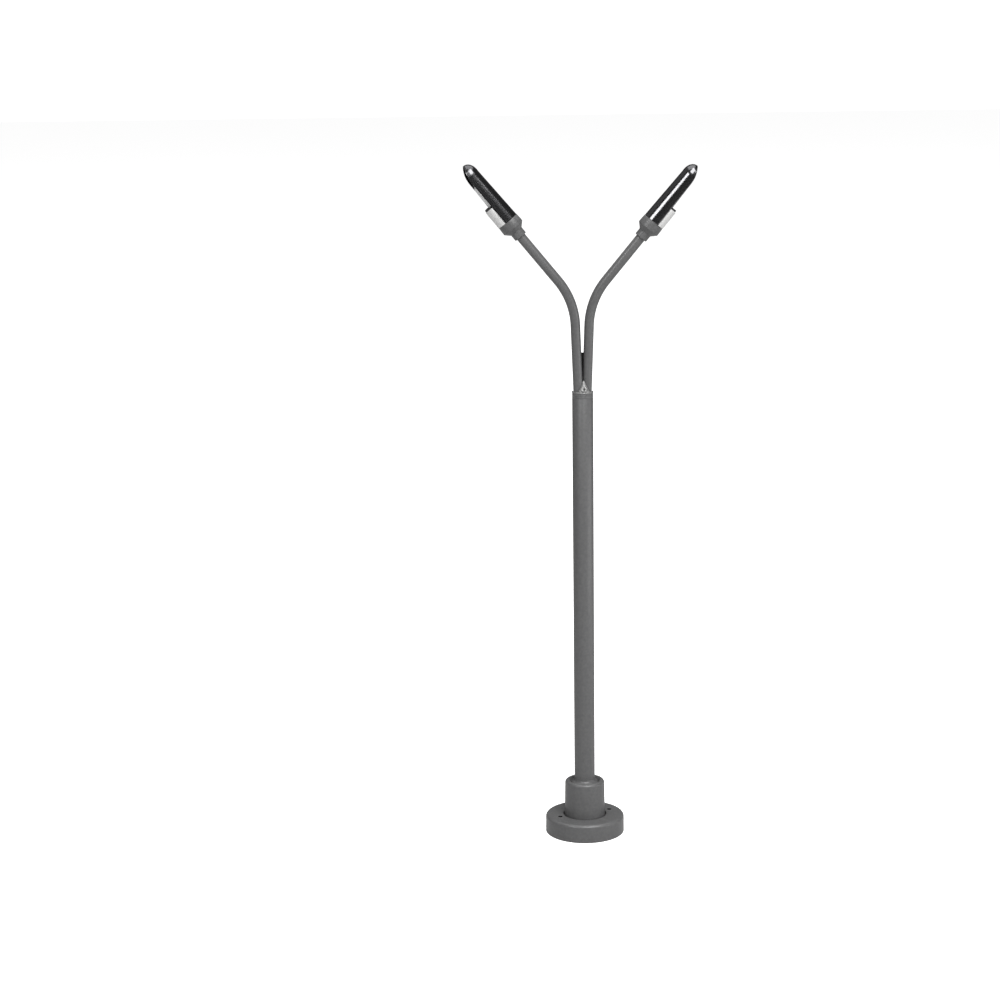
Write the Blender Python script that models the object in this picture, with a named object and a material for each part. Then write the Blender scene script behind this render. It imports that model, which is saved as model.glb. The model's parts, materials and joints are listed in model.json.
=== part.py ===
"""Model railway street lamp, 1:87: a tubular mast in a plug-in foot, with two whip arms and two lamp heads.

Metres, +Z up. The origin is the centre of the foot's underside, on the mast's axis. The arms spread along X.
"""

import math

import bmesh
import bpy
from mathutils import Matrix, Vector

MM = 0.001

# Clearances between pieces
FIT = 0.03 * MM  # between pieces that are pressed, glued or seated together
RUNNING = 0.05 * MM  # radial, between pieces that turn or slide on each other
SOLDERED = 0.02 * MM  # between the arm tubes, the mast's bore and the solder

# Foot flange
FLANGE_RADIUS = 6.7 * MM
FLANGE_THICKNESS = 3.1 * MM
FLANGE_EDGE_ROUND = 0.5 * MM
FLANGE_FOOT_CHAMFER = 0.12 * MM
SEAT_DEPTH = 0.6 * MM  # counterbore that the collar stands in
SEAT_GAP = 0.13 * MM  # open ring round the collar
FIXING_HOLE_RADIUS = 0.32 * MM
FIXING_INSET = 1.0 * MM  # from the seat's edge to the fixing holes' circle
FIXING_TURN = math.radians(22)

# Foot inside
PLATE_RADIUS = 3.5 * MM
PLATE_THICKNESS = 0.6 * MM
RING_WALL = 0.25 * MM
CONTACT_WALL = 0.22 * MM
CONTACT_FLOOR = 0.2 * MM
BUSH_WALL = 0.42 * MM
BUSH_HEIGHT = 1.25 * MM
TAG_LENGTH = 1.6 * MM
TAG_WIDTH = 0.7 * MM
TAG_THICKNESS = 0.2 * MM
TAG_MARGIN = 0.5 * MM  # from the tag's outer end to the plate's edge
TAG_SLOT_DEPTH = 0.35 * MM

# Collar, built outwards from the mast
COLLAR_HEIGHT = 6.65 * MM  # above its seat
COLLAR_DRAFT = 0.11 * MM
COLLAR_EDGE_ROUND = 0.5 * MM
COLLAR_RIM_WIDTH = 0.68 * MM
RECESS_DEPTH = 0.55 * MM
RECESS_DRAFT = 0.4 * MM
RECESS_LEDGE = 0.25 * MM
SPIGOT_WALL = 0.27 * MM
SPIGOT_FOOT_GAP = 0.4 * MM
SPIGOT_FLOOR = 1.2 * MM
BUSH_GAP = 0.35 * MM
LINER_WALL = 0.2 * MM
LINER_SETBACK = 0.25 * MM  # below the recess's floor

# Mast, whose bore just takes the two arm tubes side by side
MAST_WALL = 0.12 * MM
MAST_LENGTH = 73.9 * MM
MAST_FOOT_GAP = 0.1 * MM
FERRULE_SEAT = 0.17 * MM  # its overlap on the recess's floor
FERRULE_HEIGHT = 1.1 * MM
FERRULE_LIP = 0.25 * MM
PLUG_LENGTH = 3.0 * MM
PIN_RADIUS = 0.25 * MM
PIN_TIP_GAP = 0.1 * MM
PIN_TAIL = 0.9 * MM

# Arms, both bent the same and cut to their own length
ARM_RADIUS = 0.8 * MM
ARM_WALL = 0.2 * MM
ARM_SEAT = 8.0 * MM
ARM_PAIR_TURN = math.radians(24)
ARM_SPREAD = math.radians(2)
ARM_RISE = math.radians(50.5)
ARM_CORNER_ABOVE_MAST = 15.25 * MM
ARM_BEND_RADIUS = 12.2 * MM
ARM_REACH = {"left": 16.93 * MM, "right": 16.4 * MM}  # from the bend's corner to the socket's mouth
ARM_BEND_STEPS = 8
HEAD_ROLL = {"left": math.radians(10), "right": 0.0}
LEAD_RADIUS = 0.13 * MM

# Solder joint
SOLDER_DISC_HEIGHT = 0.3 * MM
SOLDER_BLOB_SIZE = (0.85 * MM, 0.62 * MM, 1.95 * MM)
SOLDER_BLOB_OFFSET = 0.55 * MM

# Socket, lengths measured back from its mouth
SOCKET_WALL = 0.21 * MM
SOCKET_BELLY = 0.05 * MM
SOCKET_LENGTH = 1.41 * MM
SOCKET_SWELL = 0.85 * MM  # from the mouth to the belly's full radius
CONE_LENGTH = 0.8 * MM
CONE_BREAK = (0.24 * MM, 0.24 * MM)  # where the cone steepens: out from the neck and up from its root
NECK_WALL = 0.25 * MM
NECK_LENGTH = 1.1 * MM
NECK_CHAMFER = 0.12 * MM
CAVITY_DEPTH = 1.3 * MM
NECK_BORE_DEPTH = 1.02 * MM
PASSAGE_RADIUS = 0.5 * MM
CARRIER_LENGTH = 0.7 * MM
SLEEVE_RADIUS = 0.36 * MM
LAMP_PIN_RADIUS = 0.18 * MM

# Shade, lengths measured forward from the socket's mouth
SHADE_TAPER = math.radians(1.5)
SHADE_WALL = 0.13 * MM
SHADE_LENGTH = 11.42 * MM
NOSE_LENGTH = 2.1 * MM
BEAK_HEIGHT = 0.2 * MM
RIM_DROP = 0.72 * MM
RIM_RISE_LENGTH = 3.0 * MM
SHADE_ARC_STEPS = 12
NOSE_STEPS = 5

# Bulb and its holder, which set the size of the shade and of the socket's mouth
HOLDER_LENGTH = 3.36 * MM
HOLDER_WALL = 0.45 * MM
MOUTH_STEP = 0.03 * MM  # the mouth stands out from the shade, and the holder's belly from the mouth
HOLDER_TAIL_LENGTH = 0.48 * MM
HOLDER_BORE_DEPTH = 2.1 * MM
HOLDER_STEPS = 8
WASHER_THICKNESS = 0.3 * MM
WASHER_INSET = 0.13 * MM
BULB_RADIUS = 1.08 * MM
BULB_TAPER = 0.16 * MM
BULB_WALL = 0.2 * MM
BULB_LENGTH = 6.6 * MM
BULB_TIP_STEPS = 5
LAMP_PIN_SEAT = 0.5 * MM
LAMP_PIN_REACH = 1.12 * MM
CLIP_WIDTH = 0.6 * MM
CLIP_THICKNESS = 0.1 * MM
CLIP_LENGTH = 0.42 * MM
FILAMENT_RADIUS = 0.06 * MM
FILAMENT_SPAN = 0.9 * MM
FILAMENT_LENGTH = 3.4 * MM

# Sides and steps of the round shapes
FLANGE_SIDES = 48
COLLAR_SIDES = 40
PLATE_SIDES = 32
SOCKET_SIDES = 28
MAST_SIDES = 24
LAMP_SIDES = 20
ARM_SIDES = 16
PIN_SIDES = 12
LEAD_SIDES = 8
BLOB_SIDES = 14
BLOB_STEPS = 10
FILAMENT_SIDES = 6
EDGE_ROUND_STEPS = 4
ARCH_STEPS = 6

MERGE_DISTANCE = 0.001 * MM
SHARP_ANGLE = math.radians(35)
SIDE_SIGN = {"left": -1, "right": 1}


# ---------------------------------------------------------------- tools


def finish(name, colour, roughness, metallic):
    material = bpy.data.materials.new(name)
    material.use_nodes = True
    shader = material.node_tree.nodes["Principled BSDF"]
    shader.inputs["Base Color"].default_value = (*colour, 1)
    shader.inputs["Roughness"].default_value = roughness
    shader.inputs["Metallic"].default_value = metallic
    return material


def add_piece(name, shape, material, parent=None):
    """Links a finished bmesh as one object."""
    mesh = bpy.data.meshes.new(name)
    shape.to_mesh(mesh)
    shape.free()
    mesh.shade_smooth()
    mesh.set_sharp_from_angle(angle=SHARP_ANGLE)
    mesh.materials.append(material)
    piece = bpy.data.objects.new(name, mesh)
    bpy.context.scene.collection.objects.link(piece)
    piece.parent = parent
    return piece


def arc(centre, radius, start, end, steps):
    """Points (radius, height) along a round stretch of a turned outline."""
    angles = [start + (end - start) * i / steps for i in range(steps + 1)]
    return [(centre[0] + radius * math.cos(a), centre[1] + radius * math.sin(a)) for a in angles]


def turned(outline, sides):
    """Spins an outline of (radius, height) points round Z. One that starts on the axis also ends there."""
    shape = bmesh.new()
    points = [shape.verts.new((radius, 0, height)) for radius, height in outline]
    first = 1 if outline[0][0] == 0 else 0
    edges = [shape.edges.new((points[i - 1], points[i])) for i in range(first, len(points))]
    bmesh.ops.spin(
        shape, geom=edges, axis=(0, 0, 1), cent=(0, 0, 0), angle=math.tau, steps=sides, use_merge=True
    )
    bmesh.ops.remove_doubles(shape, verts=shape.verts, dist=MERGE_DISTANCE)
    bmesh.ops.recalc_face_normals(shape, faces=shape.faces)
    return shape


def tube_outline(inner, outer, low, high):
    return [(inner, low), (outer, low), (outer, high), (inner, high)]


def rod_outline(radius, low, high):
    return [(0, low), (radius, low), (radius, high), (0, high)]


def box(size, centre):
    shape = bmesh.new()
    bmesh.ops.create_cube(shape, size=1, matrix=Matrix.Translation(centre) @ Matrix.Diagonal((*size, 1)))
    return shape


def loft(sections, closed_ends=True):
    """Joins sections with the same number of points, in order, and caps the two ends."""
    shape = bmesh.new()
    rings = [[shape.verts.new(point) for point in section] for section in sections]
    for near, far in zip(rings, rings[1:]):
        for i in range(len(near)):
            shape.faces.new((near[i - 1], near[i], far[i], far[i - 1]))
    if closed_ends:
        shape.faces.new(rings[0])
        shape.faces.new(reversed(rings[-1]))
    bmesh.ops.recalc_face_normals(shape, faces=shape.faces)
    return shape


def frames_along(path):
    """A tangent and two normals at each point of a path, carried along it without twist."""
    tangents = []
    for i in range(len(path)):
        before = path[max(i - 1, 0)]
        after = path[min(i + 1, len(path) - 1)]
        tangents.append((after - before).normalized())
    side = tangents[0].cross(Vector((0, 1, 0))).normalized()
    frames = []
    for i, tangent in enumerate(tangents):
        if i:
            side = tangents[i - 1].rotation_difference(tangent) @ side
        frames.append((side, tangent.cross(side)))
    return frames


def circle_sections(path, radius, sides):
    sections = []
    for point, (side, across) in zip(path, frames_along(path)):
        angles = [math.tau * i / sides for i in range(sides)]
        sections.append([point + radius * (math.cos(a) * side + math.sin(a) * across) for a in angles])
    return sections


def wire(path, radius, sides):
    """A solid round wire along a path."""
    return loft(circle_sections(path, radius, sides))


def pipe(path, outer, inner, sides):
    """A hollow tube along a path, open at both ends."""
    out = circle_sections(path, outer, sides)
    back = circle_sections(path, inner, sides)[::-1]
    shape = loft(out + back + [out[0]], closed_ends=False)
    bmesh.ops.remove_doubles(shape, verts=shape.verts, dist=MERGE_DISTANCE)
    bmesh.ops.recalc_face_normals(shape, faces=shape.faces)
    return shape


def cut_from(piece, shape, name, operation="DIFFERENCE"):
    """Cuts a shape out of a piece, or joins it on, and keeps the shape as a hidden helper."""
    mesh = bpy.data.meshes.new(name)
    shape.to_mesh(mesh)
    shape.free()
    helper = bpy.data.objects.new(name, mesh)
    bpy.context.scene.collection.objects.link(helper)
    helper.parent = piece.parent
    helper.rotation_euler = piece.rotation_euler
    helper.hide_render = True
    helper.display_type = "WIRE"
    modifier = piece.modifiers.new(name, "BOOLEAN")
    modifier.operation = operation
    modifier.object = helper


# ---------------------------------------------------------------- finishes and scene

for old in list(bpy.data.objects):
    bpy.data.objects.remove(old)

GREY_PAINT = finish("grey_paint", (0.13, 0.13, 0.13), 0.45, 0.0)
BRASS = finish("brass", (0.78, 0.57, 0.27), 0.3, 1.0)
BLACK_PLASTIC = finish("black_plastic", (0.02, 0.02, 0.02), 0.5, 0.0)
WHITE_PLASTIC = finish("white_plastic", (0.8, 0.8, 0.79), 0.4, 0.0)
BLACK_CHROME = finish("black_chrome", (0.03, 0.03, 0.032), 0.15, 1.0)
SOLDER = finish("solder", (0.72, 0.72, 0.7), 0.3, 1.0)
GLASS = finish("glass", (0.85, 0.86, 0.86), 0.1, 0.0)
TUNGSTEN = finish("tungsten", (0.35, 0.34, 0.33), 0.5, 1.0)
ENAMELLED_WIRE = finish("enamelled_wire", (0.45, 0.12, 0.05), 0.35, 0.0)

# ---------------------------------------------------------------- foot, from the ground up

arm_pair_offset = ARM_RADIUS + SOLDERED / 2
mast_bore = arm_pair_offset + ARM_RADIUS + SOLDERED
mast_radius = mast_bore + MAST_WALL
liner_inner = mast_radius + RUNNING
liner_outer = liner_inner + LINER_WALL
collar_bore = liner_outer + FIT
spigot_radius = collar_bore + SPIGOT_WALL
recess_floor_radius = collar_bore + RECESS_LEDGE
recess_radius = recess_floor_radius + RECESS_DRAFT
collar_top_radius = recess_radius + COLLAR_RIM_WIDTH
collar_base_radius = collar_top_radius + COLLAR_DRAFT
seat_radius = collar_base_radius + SEAT_GAP
ring_inner = spigot_radius + RUNNING
ring_outer = ring_inner + RING_WALL

plate_top = PLATE_THICKNESS + FIT
seat_height = FLANGE_THICKNESS - SEAT_DEPTH
flange_bore = ring_outer + FIT
flange_outline = [
    (PLATE_RADIUS + FIT, 0),
    (FLANGE_RADIUS - FLANGE_FOOT_CHAMFER, 0),
    (FLANGE_RADIUS, FLANGE_FOOT_CHAMFER),
    *arc(
        (FLANGE_RADIUS - FLANGE_EDGE_ROUND, FLANGE_THICKNESS - FLANGE_EDGE_ROUND),
        FLANGE_EDGE_ROUND,
        0,
        math.pi / 2,
        EDGE_ROUND_STEPS,
    ),
    (seat_radius, FLANGE_THICKNESS),
    (seat_radius, seat_height),
    (flange_bore, seat_height),
    (flange_bore, plate_top),
    (PLATE_RADIUS + FIT, plate_top),
]
base_flange = add_piece("base_flange", turned(flange_outline, FLANGE_SIDES), GREY_PAINT)
for hole in range(2):
    turn = FIXING_TURN + math.pi * hole
    place = Vector((math.cos(turn), math.sin(turn), 0)) * (seat_radius + FIXING_INSET)
    cutter = turned(rod_outline(FIXING_HOLE_RADIUS, -FLANGE_THICKNESS, 2 * FLANGE_THICKNESS), ARM_SIDES)
    bmesh.ops.translate(cutter, verts=cutter.verts, vec=place)
    cut_from(base_flange, cutter, f"fixing_hole_{hole + 1}")

plate_outline = rod_outline(PLATE_RADIUS, 0, PLATE_THICKNESS)
base_plate = add_piece("base_plate", turned(plate_outline, PLATE_SIDES), BLACK_PLASTIC)
tag_offset = PLATE_RADIUS - TAG_MARGIN - TAG_LENGTH / 2
for name, sign in (("live", -1), ("return", 1)):
    slot_size = (TAG_LENGTH + 2 * RUNNING, TAG_WIDTH + 2 * RUNNING, 2 * TAG_SLOT_DEPTH)
    cut_from(base_plate, box(slot_size, (sign * tag_offset, 0, 0)), f"{name}_tag_slot")
    tag_centre = (sign * tag_offset, 0, TAG_SLOT_DEPTH - FIT - TAG_THICKNESS / 2)
    add_piece(f"{name}_solder_tag", box((TAG_LENGTH, TAG_WIDTH, TAG_THICKNESS), tag_centre), BRASS)

ring_outline = tube_outline(ring_inner, ring_outer, plate_top, seat_height - FIT)
add_piece("contact_ring", turned(ring_outline, PLATE_SIDES), BRASS)

contact_inner = PIN_RADIUS + FIT
contact_outer = contact_inner + CONTACT_WALL
contact_floor = plate_top + CONTACT_FLOOR
bush_top = plate_top + BUSH_HEIGHT
contact_outline = [
    (0, plate_top),
    (contact_outer, plate_top),
    (contact_outer, bush_top),
    (contact_inner, bush_top),
    (contact_inner, contact_floor),
    (0, contact_floor),
]
add_piece("centre_contact", turned(contact_outline, ARM_SIDES), BRASS)
bush_inner = contact_outer + FIT
bush_outer = bush_inner + BUSH_WALL
bush_outline = tube_outline(bush_inner, bush_outer, plate_top, bush_top)
add_piece("contact_bush", turned(bush_outline, LAMP_SIDES), BLACK_PLASTIC)

# ---------------------------------------------------------------- collar

collar_bottom = seat_height + FIT
collar_top = collar_bottom + COLLAR_HEIGHT
recess_floor = collar_top - RECESS_DEPTH
spigot_bottom = plate_top + SPIGOT_FOOT_GAP
spigot_floor_top = spigot_bottom + SPIGOT_FLOOR
spigot_bore = bush_outer + BUSH_GAP
collar_outline = [
    (spigot_bore, spigot_bottom),
    (spigot_radius, spigot_bottom),
    (spigot_radius, collar_bottom),
    (collar_base_radius, collar_bottom),
    *arc(
        (collar_top_radius - COLLAR_EDGE_ROUND, collar_top - COLLAR_EDGE_ROUND),
        COLLAR_EDGE_ROUND,
        0,
        math.pi / 2,
        EDGE_ROUND_STEPS,
    ),
    (recess_radius, collar_top),
    (recess_floor_radius, recess_floor),
    (collar_bore, recess_floor),
    (collar_bore, spigot_floor_top),
    (spigot_bore, spigot_floor_top),
]
add_piece("foot_collar", turned(collar_outline, COLLAR_SIDES), GREY_PAINT)
liner_bottom = spigot_floor_top + FIT
liner_outline = tube_outline(liner_inner, liner_outer, liner_bottom, recess_floor - LINER_SETBACK)
add_piece("collar_liner", turned(liner_outline, MAST_SIDES), BRASS)

# ---------------------------------------------------------------- mast

mast_foot = spigot_floor_top + MAST_FOOT_GAP
mast_top = mast_foot + MAST_LENGTH
mast_outline = tube_outline(mast_bore, mast_radius, mast_foot, mast_top)
add_piece("mast_tube", turned(mast_outline, MAST_SIDES), GREY_PAINT)

ferrule_bottom = recess_floor + FIT
ferrule_inner = mast_radius + FIT
ferrule_outer = collar_bore + FERRULE_SEAT
ferrule_outline = [
    (ferrule_inner, ferrule_bottom),
    (ferrule_outer, ferrule_bottom),
    (ferrule_outer, ferrule_bottom + FERRULE_LIP),
    (ferrule_inner + FIT, ferrule_bottom + FERRULE_HEIGHT),
    (ferrule_inner, ferrule_bottom + FERRULE_HEIGHT),
]
add_piece("mast_ferrule", turned(ferrule_outline, MAST_SIDES), GREY_PAINT)

plug_top = mast_foot + PLUG_LENGTH
plug_outline = tube_outline(PIN_RADIUS + FIT, mast_bore - FIT, mast_foot, plug_top)
add_piece("plug_insulator", turned(plug_outline, LAMP_SIDES), BLACK_PLASTIC)
pin_bottom = contact_floor + PIN_TIP_GAP
pin_outline = rod_outline(PIN_RADIUS, pin_bottom, plug_top + PIN_TAIL)
add_piece("centre_pin", turned(pin_outline, PIN_SIDES), BRASS)

# ---------------------------------------------------------------- arms, leads and solder

corner_height = mast_top + ARM_CORNER_ABOVE_MAST
mouth_x = arm_pair_offset * math.cos(ARM_PAIR_TURN)
mouth_y = arm_pair_offset * math.sin(ARM_PAIR_TURN)


def head_place(side):
    """The centre of the socket's mouth and the head's direction, for one side."""
    sign = SIDE_SIGN[side]
    direction = Vector((sign * math.cos(ARM_RISE), 0, math.sin(ARM_RISE)))
    corner = Vector((sign * (mouth_x + ARM_CORNER_ABOVE_MAST * math.tan(ARM_SPREAD)), 0, corner_height))
    return corner + direction * ARM_REACH[side], direction


def arm_line(side, short_of_mouth):
    """The arm's centre line, from its foot in the mast to a point short of the socket's mouth."""
    sign = SIDE_SIGN[side]
    mouth, outward = head_place(side)
    corner = mouth - outward * ARM_REACH[side]
    in_mast = Vector((sign * mouth_x, sign * mouth_y, mast_top))
    upward = Vector((sign * math.sin(ARM_SPREAD), 0, math.cos(ARM_SPREAD)))
    turn = upward.angle(outward)
    tangent_length = ARM_BEND_RADIUS * math.tan(turn / 2)
    bend_start = corner - upward * tangent_length
    inward = (outward - upward * upward.dot(outward)).normalized()
    centre = bend_start + inward * ARM_BEND_RADIUS
    bend = []
    for i in range(ARM_BEND_STEPS + 1):
        a = turn * i / ARM_BEND_STEPS
        bend.append(centre + ARM_BEND_RADIUS * (upward * math.sin(a) - inward * math.cos(a)))
    foot = in_mast - Vector((0, 0, ARM_SEAT))
    return [foot, in_mast, *bend, mouth - outward * short_of_mouth]


cone_end = SOCKET_LENGTH + CONE_LENGTH
neck_end = cone_end + NECK_LENGTH
neck_bore_end = neck_end - NECK_BORE_DEPTH
arm_end = neck_bore_end + RUNNING
lead_end = CAVITY_DEPTH + RUNNING
lead_foot_x = PIN_RADIUS + LEAD_RADIUS + FIT
for side, sign in SIDE_SIGN.items():
    tube_line = arm_line(side, arm_end)
    arm_tube = pipe(tube_line, ARM_RADIUS, ARM_RADIUS - ARM_WALL, ARM_SIDES)
    add_piece(f"{side}_arm_tube", arm_tube, GREY_PAINT)
    lead_foot = Vector((sign * lead_foot_x, 0, plug_top + PIN_TAIL / 2))
    lead_line = [lead_foot, *arm_line(side, lead_end)]
    add_piece(f"{side}_live_lead", wire(lead_line, LEAD_RADIUS, LEAD_SIDES), ENAMELLED_WIRE)

solder_bottom = mast_top + FIT
solder_top = solder_bottom + SOLDER_DISC_HEIGHT
solder_outline = rod_outline(mast_radius - SOLDERED, solder_bottom, solder_top)
solder_joint = add_piece("solder_joint", turned(solder_outline, MAST_SIDES), SOLDER)
for name, sign in (("front", -1), ("back", 1)):
    blob = bmesh.new()
    across = Vector((-math.sin(ARM_PAIR_TURN), math.cos(ARM_PAIR_TURN), 0)) * sign * SOLDER_BLOB_OFFSET
    blob_centre = Vector((0, 0, solder_bottom + SOLDER_DISC_HEIGHT / 2)) + across
    blob_shape = Matrix.Translation(blob_centre) @ Matrix.Diagonal((*SOLDER_BLOB_SIZE, 1))
    bmesh.ops.create_uvsphere(
        blob, u_segments=BLOB_SIDES, v_segments=BLOB_STEPS, radius=1, matrix=blob_shape
    )
    cut_from(solder_joint, blob, f"{name}_blob", "UNION")
under_solder = box((4 * mast_radius, 4 * mast_radius, ARM_SEAT), (0, 0, solder_bottom - ARM_SEAT / 2))
cut_from(solder_joint, under_solder, "under_solder")
for side in SIDE_SIGN:
    arm_cutter = wire(arm_line(side, arm_end), ARM_RADIUS + SOLDERED, ARM_SIDES)
    cut_from(solder_joint, arm_cutter, f"{side}_arm_in_solder")

# ---------------------------------------------------------------- heads


def taper_at(x):
    return x * math.tan(SHADE_TAPER)


shade_bore = BULB_RADIUS + FIT + HOLDER_WALL + RUNNING + taper_at(HOLDER_LENGTH)
shade_radius = shade_bore + SHADE_WALL
mouth_radius = shade_radius + MOUTH_STEP
holder_radius = mouth_radius + MOUTH_STEP
socket_radius = mouth_radius + SOCKET_BELLY
cavity_radius = mouth_radius - SOCKET_WALL
holder_tail_radius = cavity_radius - CLIP_THICKNESS - FIT - RUNNING
neck_bore = ARM_RADIUS + RUNNING
neck_radius = neck_bore + NECK_WALL
bulb_tip_radius = BULB_RADIUS - BULB_TAPER


def shade_section(x, wall):
    """The trough's half width, its arc's centre height and its rim's height at a distance from the mouth."""
    nose_start = SHADE_LENGTH - NOSE_LENGTH
    along_nose = min(max((x - nose_start) / (NOSE_LENGTH - wall), 0), 1)
    width_at_nose = shade_radius - taper_at(min(x, nose_start)) - wall
    half_width = width_at_nose * math.sqrt(1 - along_nose**2)
    along_rise = max((x - SHADE_LENGTH + RIM_RISE_LENGTH) / RIM_RISE_LENGTH, 0)
    rim = -RIM_DROP + (RIM_DROP + BEAK_HEIGHT) * along_rise**2
    return half_width, BEAK_HEIGHT * along_nose, rim


def trough_points(x, wall):
    half_width, centre, rim = shade_section(x, wall)
    over_top = [math.pi * i / SHADE_ARC_STEPS for i in range(SHADE_ARC_STEPS + 1)]
    side = [(half_width, min(rim, centre))]
    side += [(half_width * math.cos(a), centre + half_width * math.sin(a)) for a in over_top]
    side.append((-half_width, min(rim, centre)))
    return [Vector((x, y, z)) for y, z in side]


def shade():
    """A half-round trough with straight skirts, closed by a bullet nose whose rim rises to a beak."""
    nose_start = SHADE_LENGTH - NOSE_LENGTH
    nose = [math.sin(math.pi / 2 * i / NOSE_STEPS) for i in range(NOSE_STEPS)]
    shape = bmesh.new()
    skins = []
    for wall in (0, SHADE_WALL):
        reach = NOSE_LENGTH - wall
        stations = [FIT, nose_start / 2, *(nose_start + reach * share for share in nose)]
        rows = [[shape.verts.new(p) for p in trough_points(x, wall)] for x in stations]
        beak = shape.verts.new((nose_start + reach, 0, BEAK_HEIGHT))
        skins.append((rows, beak))
    for rows, beak in skins:
        for near, far in zip(rows, rows[1:]):
            for i in range(len(near) - 1):
                shape.faces.new((near[i], near[i + 1], far[i + 1], far[i]))
        for i in range(len(rows[-1]) - 1):
            shape.faces.new((rows[-1][i], rows[-1][i + 1], beak))
    (outer, outer_beak), (inner, inner_beak) = skins
    for i in range(len(outer[0]) - 1):
        shape.faces.new((outer[0][i], outer[0][i + 1], inner[0][i + 1], inner[0][i]))
    for edge in (0, -1):
        for row in range(len(outer) - 1):
            shape.faces.new((outer[row][edge], outer[row + 1][edge], inner[row + 1][edge], inner[row][edge]))
        shape.faces.new((outer[-1][edge], outer_beak, inner_beak, inner[-1][edge]))
    bmesh.ops.recalc_face_normals(shape, faces=shape.faces)
    return shape


def holder_section(x, inset):
    """A section that fills the trough above its rim and bulges in a round belly below it."""
    half_width = shade_bore - taper_at(x) - RUNNING - inset
    belly_radius = holder_radius - inset
    half_width = min(half_width, math.sqrt(belly_radius**2 - RIM_DROP**2))
    below_side = math.atan2(RIM_DROP, half_width)
    over_top = [math.pi * i / HOLDER_STEPS for i in range(HOLDER_STEPS + 1)]
    points = [(half_width * math.cos(a), half_width * math.sin(a)) for a in over_top]
    belly_step = (math.pi - 2 * below_side) / HOLDER_STEPS
    under = [math.pi + below_side + belly_step * i for i in range(HOLDER_STEPS + 1)]
    belly = [(math.cos(a) * belly_radius, math.sin(a) * belly_radius) for a in under]
    belly[0] = (-half_width, -RIM_DROP)
    belly[-1] = (half_width, -RIM_DROP)
    return [Vector((x, y, z)) for y, z in points + belly]


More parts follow.
